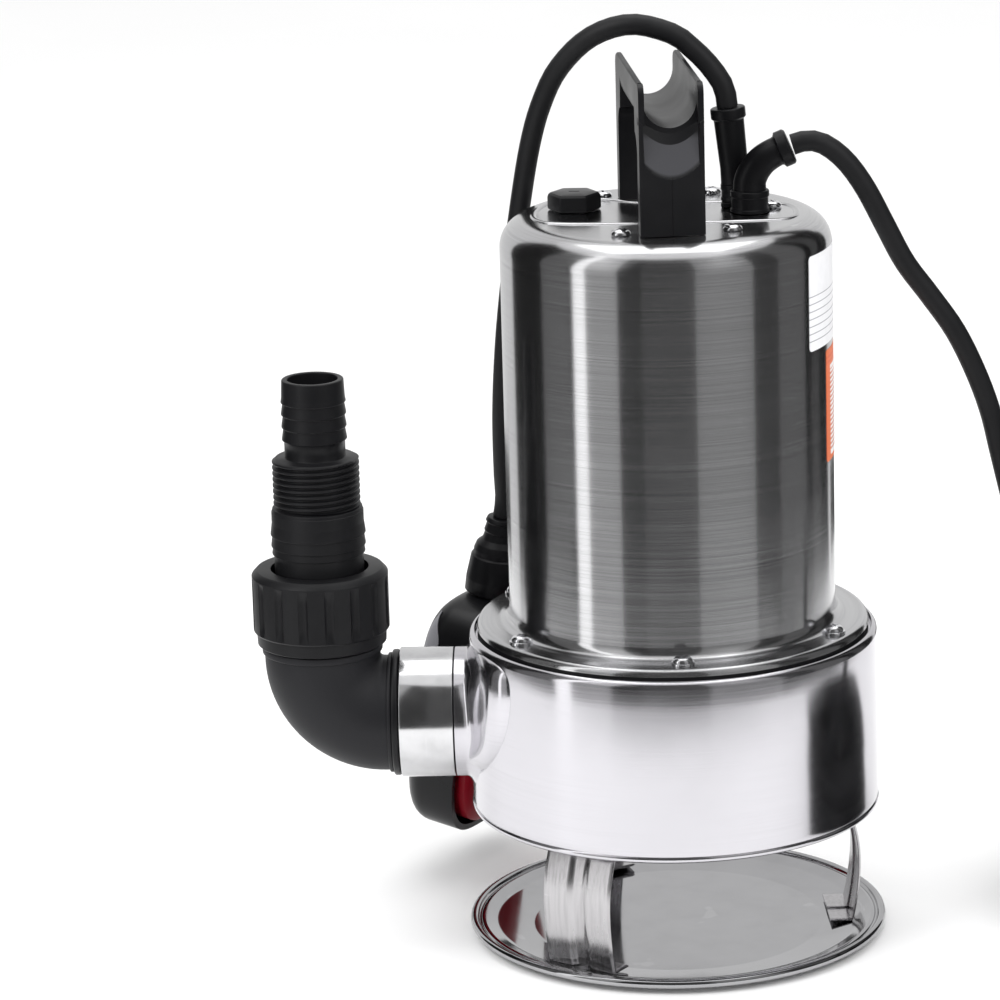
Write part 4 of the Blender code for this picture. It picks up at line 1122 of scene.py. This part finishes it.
def union_nut():
    """A collar nut with shallow grip grooves between its chamfered top and the step at its foot."""
    low, high = NUT_BOTTOM + 0.0062, NUT_TOP - 0.0030
    profile = [(0.0188, NUT_TOP), (0.0238, NUT_TOP), (0.0243, NUT_TOP - 0.0002), (0.0258, NUT_TOP - 0.0018)]
    profile += [(NUT_R, NUT_TOP - 0.0023), (NUT_R, NUT_TOP - 0.0027)]
    profile += [(NUT_R, high - (high - low) * n / 8) for n in range(9)]
    profile += [(NUT_R, NUT_BOTTOM + 0.0058), (0.0257, NUT_BOTTOM + 0.0052), (0.0249, NUT_BOTTOM + 0.0050)]
    profile += [(0.0247, NUT_BOTTOM + 0.0004), (0.0243, NUT_BOTTOM)]
    profile += [(ELBOW_R + 0.0004, NUT_BOTTOM), (ELBOW_R + 0.0004, 0.1401), (0.0188, 0.1401)]

    def groove(r, turn, z):
        if r < NUT_R - HAIR or not low - HAIR < z < high + HAIR:
            return 0.0
        end = between(min(z - low, high - z), -0.0001, 0.0009)
        return 0.0010 * end * (1 - between(abs(turn * NUT_GROOVES % 1.0 - 0.5), 0.10, 0.18))

    shape = pressed(turning(profile, NUT_GROOVES * 16), groove)
    piece("union_nut_collar", shape, BLACK_SATIN, "nut", ["union_nut"], RISER, crease=30)


THREAD_PITCH = 0.002309
THREAD_LOW, THREAD_HIGH = 0.1708, 0.1890
THREAD_CREST, THREAD_ROOT = 0.0166, 0.0153


def barbs(top, bottom, count, root, peak):
    """Saw-tooth rings that widen downwards, as corners with radii."""
    pitch = (top - bottom) / count
    points = []
    for n in range(count):
        high = top - n * pitch
        crest, foot = high - 0.72 * pitch, high - pitch + 0.0004
        points += [(root, high, 0.0003), (peak - 0.0001, crest, 0.0008), (peak, foot, 0.0002)]
    return points


def hose_adapter():
    """A hollow stepped tail: small barbs, a threaded step, and large shallow barbs above the nut."""
    profile = rounded([
        (0.0096, 0.2190), (0.0096, 0.2200, 0.0004), (0.0118, 0.2200, 0.0006), (0.0121, 0.2130, 0.0005),
        (0.0124, 0.2112, 0.0002), *barbs(0.2110, 0.1963, 3, 0.0117, 0.0124), (0.0116, 0.1960),
    ], closed=False)
    profile += [(0.0116, 0.1900), (0.0118, 0.1897), (THREAD_ROOT, 0.1895)]
    rows = 88
    profile += [(THREAD_CREST, THREAD_HIGH - (THREAD_HIGH - THREAD_LOW) * n / rows) for n in range(rows + 1)]
    profile += [(THREAD_ROOT, 0.1706), (0.0158, 0.1704)]
    profile += rounded([
        (0.0158, 0.1704), (0.0172, 0.1700, 0.0004), (0.0173, 0.1688, 0.0002), (0.0176, 0.1686, 0.0002),
        (0.0176, 0.1642, 0.0003), (0.0182, 0.1597, 0.0002), (0.0175, 0.1595, 0.0002),
        (0.0181, 0.1552, 0.0002), (0.0174, 0.1550, 0.0002), (0.0178, 0.1522, 0.0002),
        (0.0171, 0.1520, 0.0002), (0.0171, 0.1480),
    ], closed=False)
    profile += [(0.0171, 0.1398), (0.0219, 0.1398), (0.0219, 0.1358), (0.0145, 0.1358)]
    profile += [(0.0145, 0.1650), (0.0096, 0.1880)]

    def valley(r, turn, z):
        if r < THREAD_CREST - HAIR or not THREAD_LOW - HAIR < z < THREAD_HIGH + HAIR:
            return 0.0
        beside = abs((z / THREAD_PITCH - turn) % 1.0 - 0.5)
        return (THREAD_CREST - THREAD_ROOT) * (1 - between(beside, 0.12, 0.36))

    shape = pressed(turning(profile), valley)
    piece("hose_tail", shape, BLACK_SATIN, "outlet", ["hose_adapter"], RISER, crease=75)


# ---- float switch
def float_ring(inset, depth, side):
    """A rounded rectangle, drawn in from the float's outline, at a distance from its middle plane."""
    half_width = FLOAT_SIZE[0] / 2 - inset
    half_height = FLOAT_SIZE[2] / 2 - inset
    points = []
    for angle in turns(96):
        c, s = math.cos(angle), math.sin(angle)
        x = math.copysign(abs(c) ** 0.5, c) * half_width
        z = math.copysign(abs(s) ** 0.5, s) * half_height
        points.append((x, side * depth, z - FLOAT_SIZE[2] / 2))
    return points


FLOAT_ROUNDING = 0.0110  # how far the float's faces round off towards its edge


def float_inset(depth):
    """How far in from its outline the float's surface is at a distance from its middle plane."""
    share = (depth / FLOAT_SIZE[1] - 0.30) / 0.70
    return FLOAT_ROUNDING * (1 - math.sqrt(1 - share**2)) if share > 0 else 0.0


def float_panel():
    """The grey panel let into the float's narrow edge, near the boot."""
    rows = []
    for level in range(25):
        z = -0.0045 - 0.0300 * level / 24
        low = 0.0092 - 0.0045 * between(-z, 0.0045, 0.0150)
        high = 0.0098 + 0.0022 * between(-z, 0.0045, 0.0110)
        row = []
        for column in range(9):
            y = low + (high - low) * column / 8
            half_height = FLOAT_SIZE[2] / 2 - float_inset(y)
            along_z = min(1.0, abs(z + FLOAT_SIZE[2] / 2) / half_height)
            x = -(FLOAT_SIZE[0] / 2 - float_inset(y)) * (1 - along_z**4) ** 0.25
            row.append(((x - 0.0005, y, z + 0.0003), (x + 0.0006, y, z - 0.0003)))
        rows.append(row)
    return slab(rows)


def float_switch():
    """Two shell halves with a seam between them, a side panel and a stepped rubber boot."""
    frame_at = float_axes()
    deep = FLOAT_SIZE[1]
    face = [(0.0180, deep - 0.0007), (0.0170, deep - 0.0006), (0.0160, deep), (0.0135, deep)]
    shares = (1.0, 0.995, 0.98, 0.95, 0.90, 0.83, 0.74, 0.64, 0.53, 0.42, 0.30)
    face += [(float_inset(deep * share), deep * share) for share in shares]
    outer_inside = [(0.0032, deep * 0.55), (0.0062, deep * 0.75), (0.0150, deep - 0.0022)]
    inner_inside = [(0.0078, deep * 0.79), (0.0150, deep - 0.0022)]
    for name, side, seam, inset, finish, inside in (
        ("outer", 1, -0.0095, 0.0, BLACK_GLOSS, outer_inside),
        ("inner", -1, 0.0100, 0.0045, RED, inner_inside),
    ):
        edge = [(inset, seam), (inset + 0.0022, seam)]
        profile = [(max(i, inset), d) for i, d in face] + edge + inside
        shape = skinned([float_ring(i, d, side) for i, d in profile])
        piece(f"float_half_{name}", shape, finish, "float", [f"float_shell_{name}"], frame_at, crease=30)
    piece("float_side_panel", float_panel(), GREY, "float", (), frame_at)
    boot = lathe([
        (0, BOOT_LENGTH - GAP), (0.0060, BOOT_LENGTH - GAP, 0.0006), (0.0066, BOOT_LENGTH - 0.0020),
        (0.0060, BOOT_LENGTH - 0.0026, 0.0003), (0.0068, BOOT_LENGTH - 0.0060, 0.0004),
        (0.0064, BOOT_LENGTH - 0.0066, 0.0003), (0.0071, 0.0225, 0.0005), (0.0092, 0.0205, 0.0008),
        (0.0100, 0.0180, 0.0008), (0.0100, 0.0160, 0.0004), (0.0108, 0.0154, 0.0004),
        (0.0118, 0.0060, 0.0015), (0.0118, 0.0006), (0.0090, 0.0002), (0, 0.0002),
    ], 72, ring=False)
    piece("float_cable_boot", boot, RUBBER, "float", ["float_boot"], frame_at)


# ---- labels
LABEL_SHEET = 0.0003


def label(name, finish, angles, heights, lift, corner):
    """A thin sheet on the motor casing's side, its corners rounded."""
    low, high = heights
    offsets = [corner * (1 - math.cos(math.radians(15 * n))) for n in range(7)]
    levels = [low + d for d in offsets] + [high - d for d in offsets[::-1]]
    radius = MOTOR_R + lift
    behind = radius - LABEL_SHEET
    rows = []
    for z in levels:
        near = min(z - low, high - z)
        inset = corner - math.sqrt(corner**2 - max(0.0, corner - near) ** 2)
        first = math.radians(angles[0]) + inset / radius
        last = math.radians(angles[1]) - inset / radius
        angles_here = [first + (last - first) * n / 48 for n in range(49)]
        around = [(math.cos(a), math.sin(a)) for a in angles_here]
        rows.append([((radius * c, radius * s, z), (behind * c, behind * s, z)) for c, s in around])
    piece(name, slab(rows), finish)


def labels():
    label("label_upper", LABEL_WHITE, (-32.5, 12), (0.2341, 0.2700), 0.00016, 0.0016)
    label("label_lower", LABEL_ORANGE, (-18.6, 16), (0.1885, 0.2315), 0.00016, 0.0010)
    label("label_lower_panel", LABEL_BARS, (-14, 13), (0.1905, 0.2250), 0.00026, 0.0004)


# ---- plug and inner parts
def plug():
    """A plain moulded plug with grip rings and two round pins."""
    profile = [(0, PLUG_LENGTH), (0.0165, PLUG_LENGTH, 0.0010), (0.0172, PLUG_LENGTH - 0.0110, 0.0020)]
    profile += [(0.0140, PLUG_LENGTH - 0.0150, 0.0020), (0.0122, 0.0190)]
    for n in range(4):
        top = 0.0185 - 0.0030 * n
        wide = 0.0121 - 0.0012 * n
        profile += [(wide, top, 0.0004), (wide, top - 0.0018, 0.0004)]
        profile += [(wide - 0.0012, top - 0.0020), (wide - 0.0014, top - 0.0028)]
    profile += [(0.0062, 0.0040), (0.0054, 0), (0, 0)]
    shape = lathe(profile, 72, ring=False)
    piece("plug_moulding", shape, RUBBER, nodes=["plug_body"], matrix=along((1, 0, 0), PLUG_BACK))
    x, y, z = PLUG_BACK
    pin = lathe([(0, 0.0170), (0.0024, 0.0170, 0.0014), (0.0024, -0.0010), (0, -0.0010)], 32, ring=False)
    for n, side in enumerate((-1, 1), 1):
        base = (x + PLUG_LENGTH + GAP, y + side * 0.0095, z)
        piece(f"plug_contact_{n}", pin, CHROME, nodes=[f"plug_pin_{n}"], matrix=along((1, 0, 0), base))


CARRIED = {
    "seal_plate": CAST, "upper_bracket": CAST, "stator_core": CAST, "rotor_core": CAST,
    "winding_lower": COPPER, "winding_upper": COPPER, "upper_bearing": CHROME, "lower_bearing": CHROME,
    "lip_seal": RUBBER, "seal_seat": CERAMIC, "capacitor": GREY, "shaft": CHROME, "impeller": GREY,
    "impeller_nut": CHROME, "seal_ring": RUBBER, "adapter_gasket": RUBBER, "float_microswitch": GREY,
    "float_ball": CHROME, "coil_tie": RUBBER,
}


def carried_nodes():
    """The CAD's own solids that stay as they are, inside the pump and on the coil."""
    for name, finish in CARRIED.items():
        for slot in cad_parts[name].material_slots:
            slot.material = finish.material


for build in (
    camera, floor, cards, lights, plug, power_cord, float_cable, base_plate, legs, suction_plate,
    pump_casing, outlet_bulge, outlet_socket, casing_gasket, motor_casing, screws, vent_plug,
    glands, power_sleeve, handle, elbow, union_nut, hose_adapter, float_switch, labels,
    carried_nodes,
):
    build()
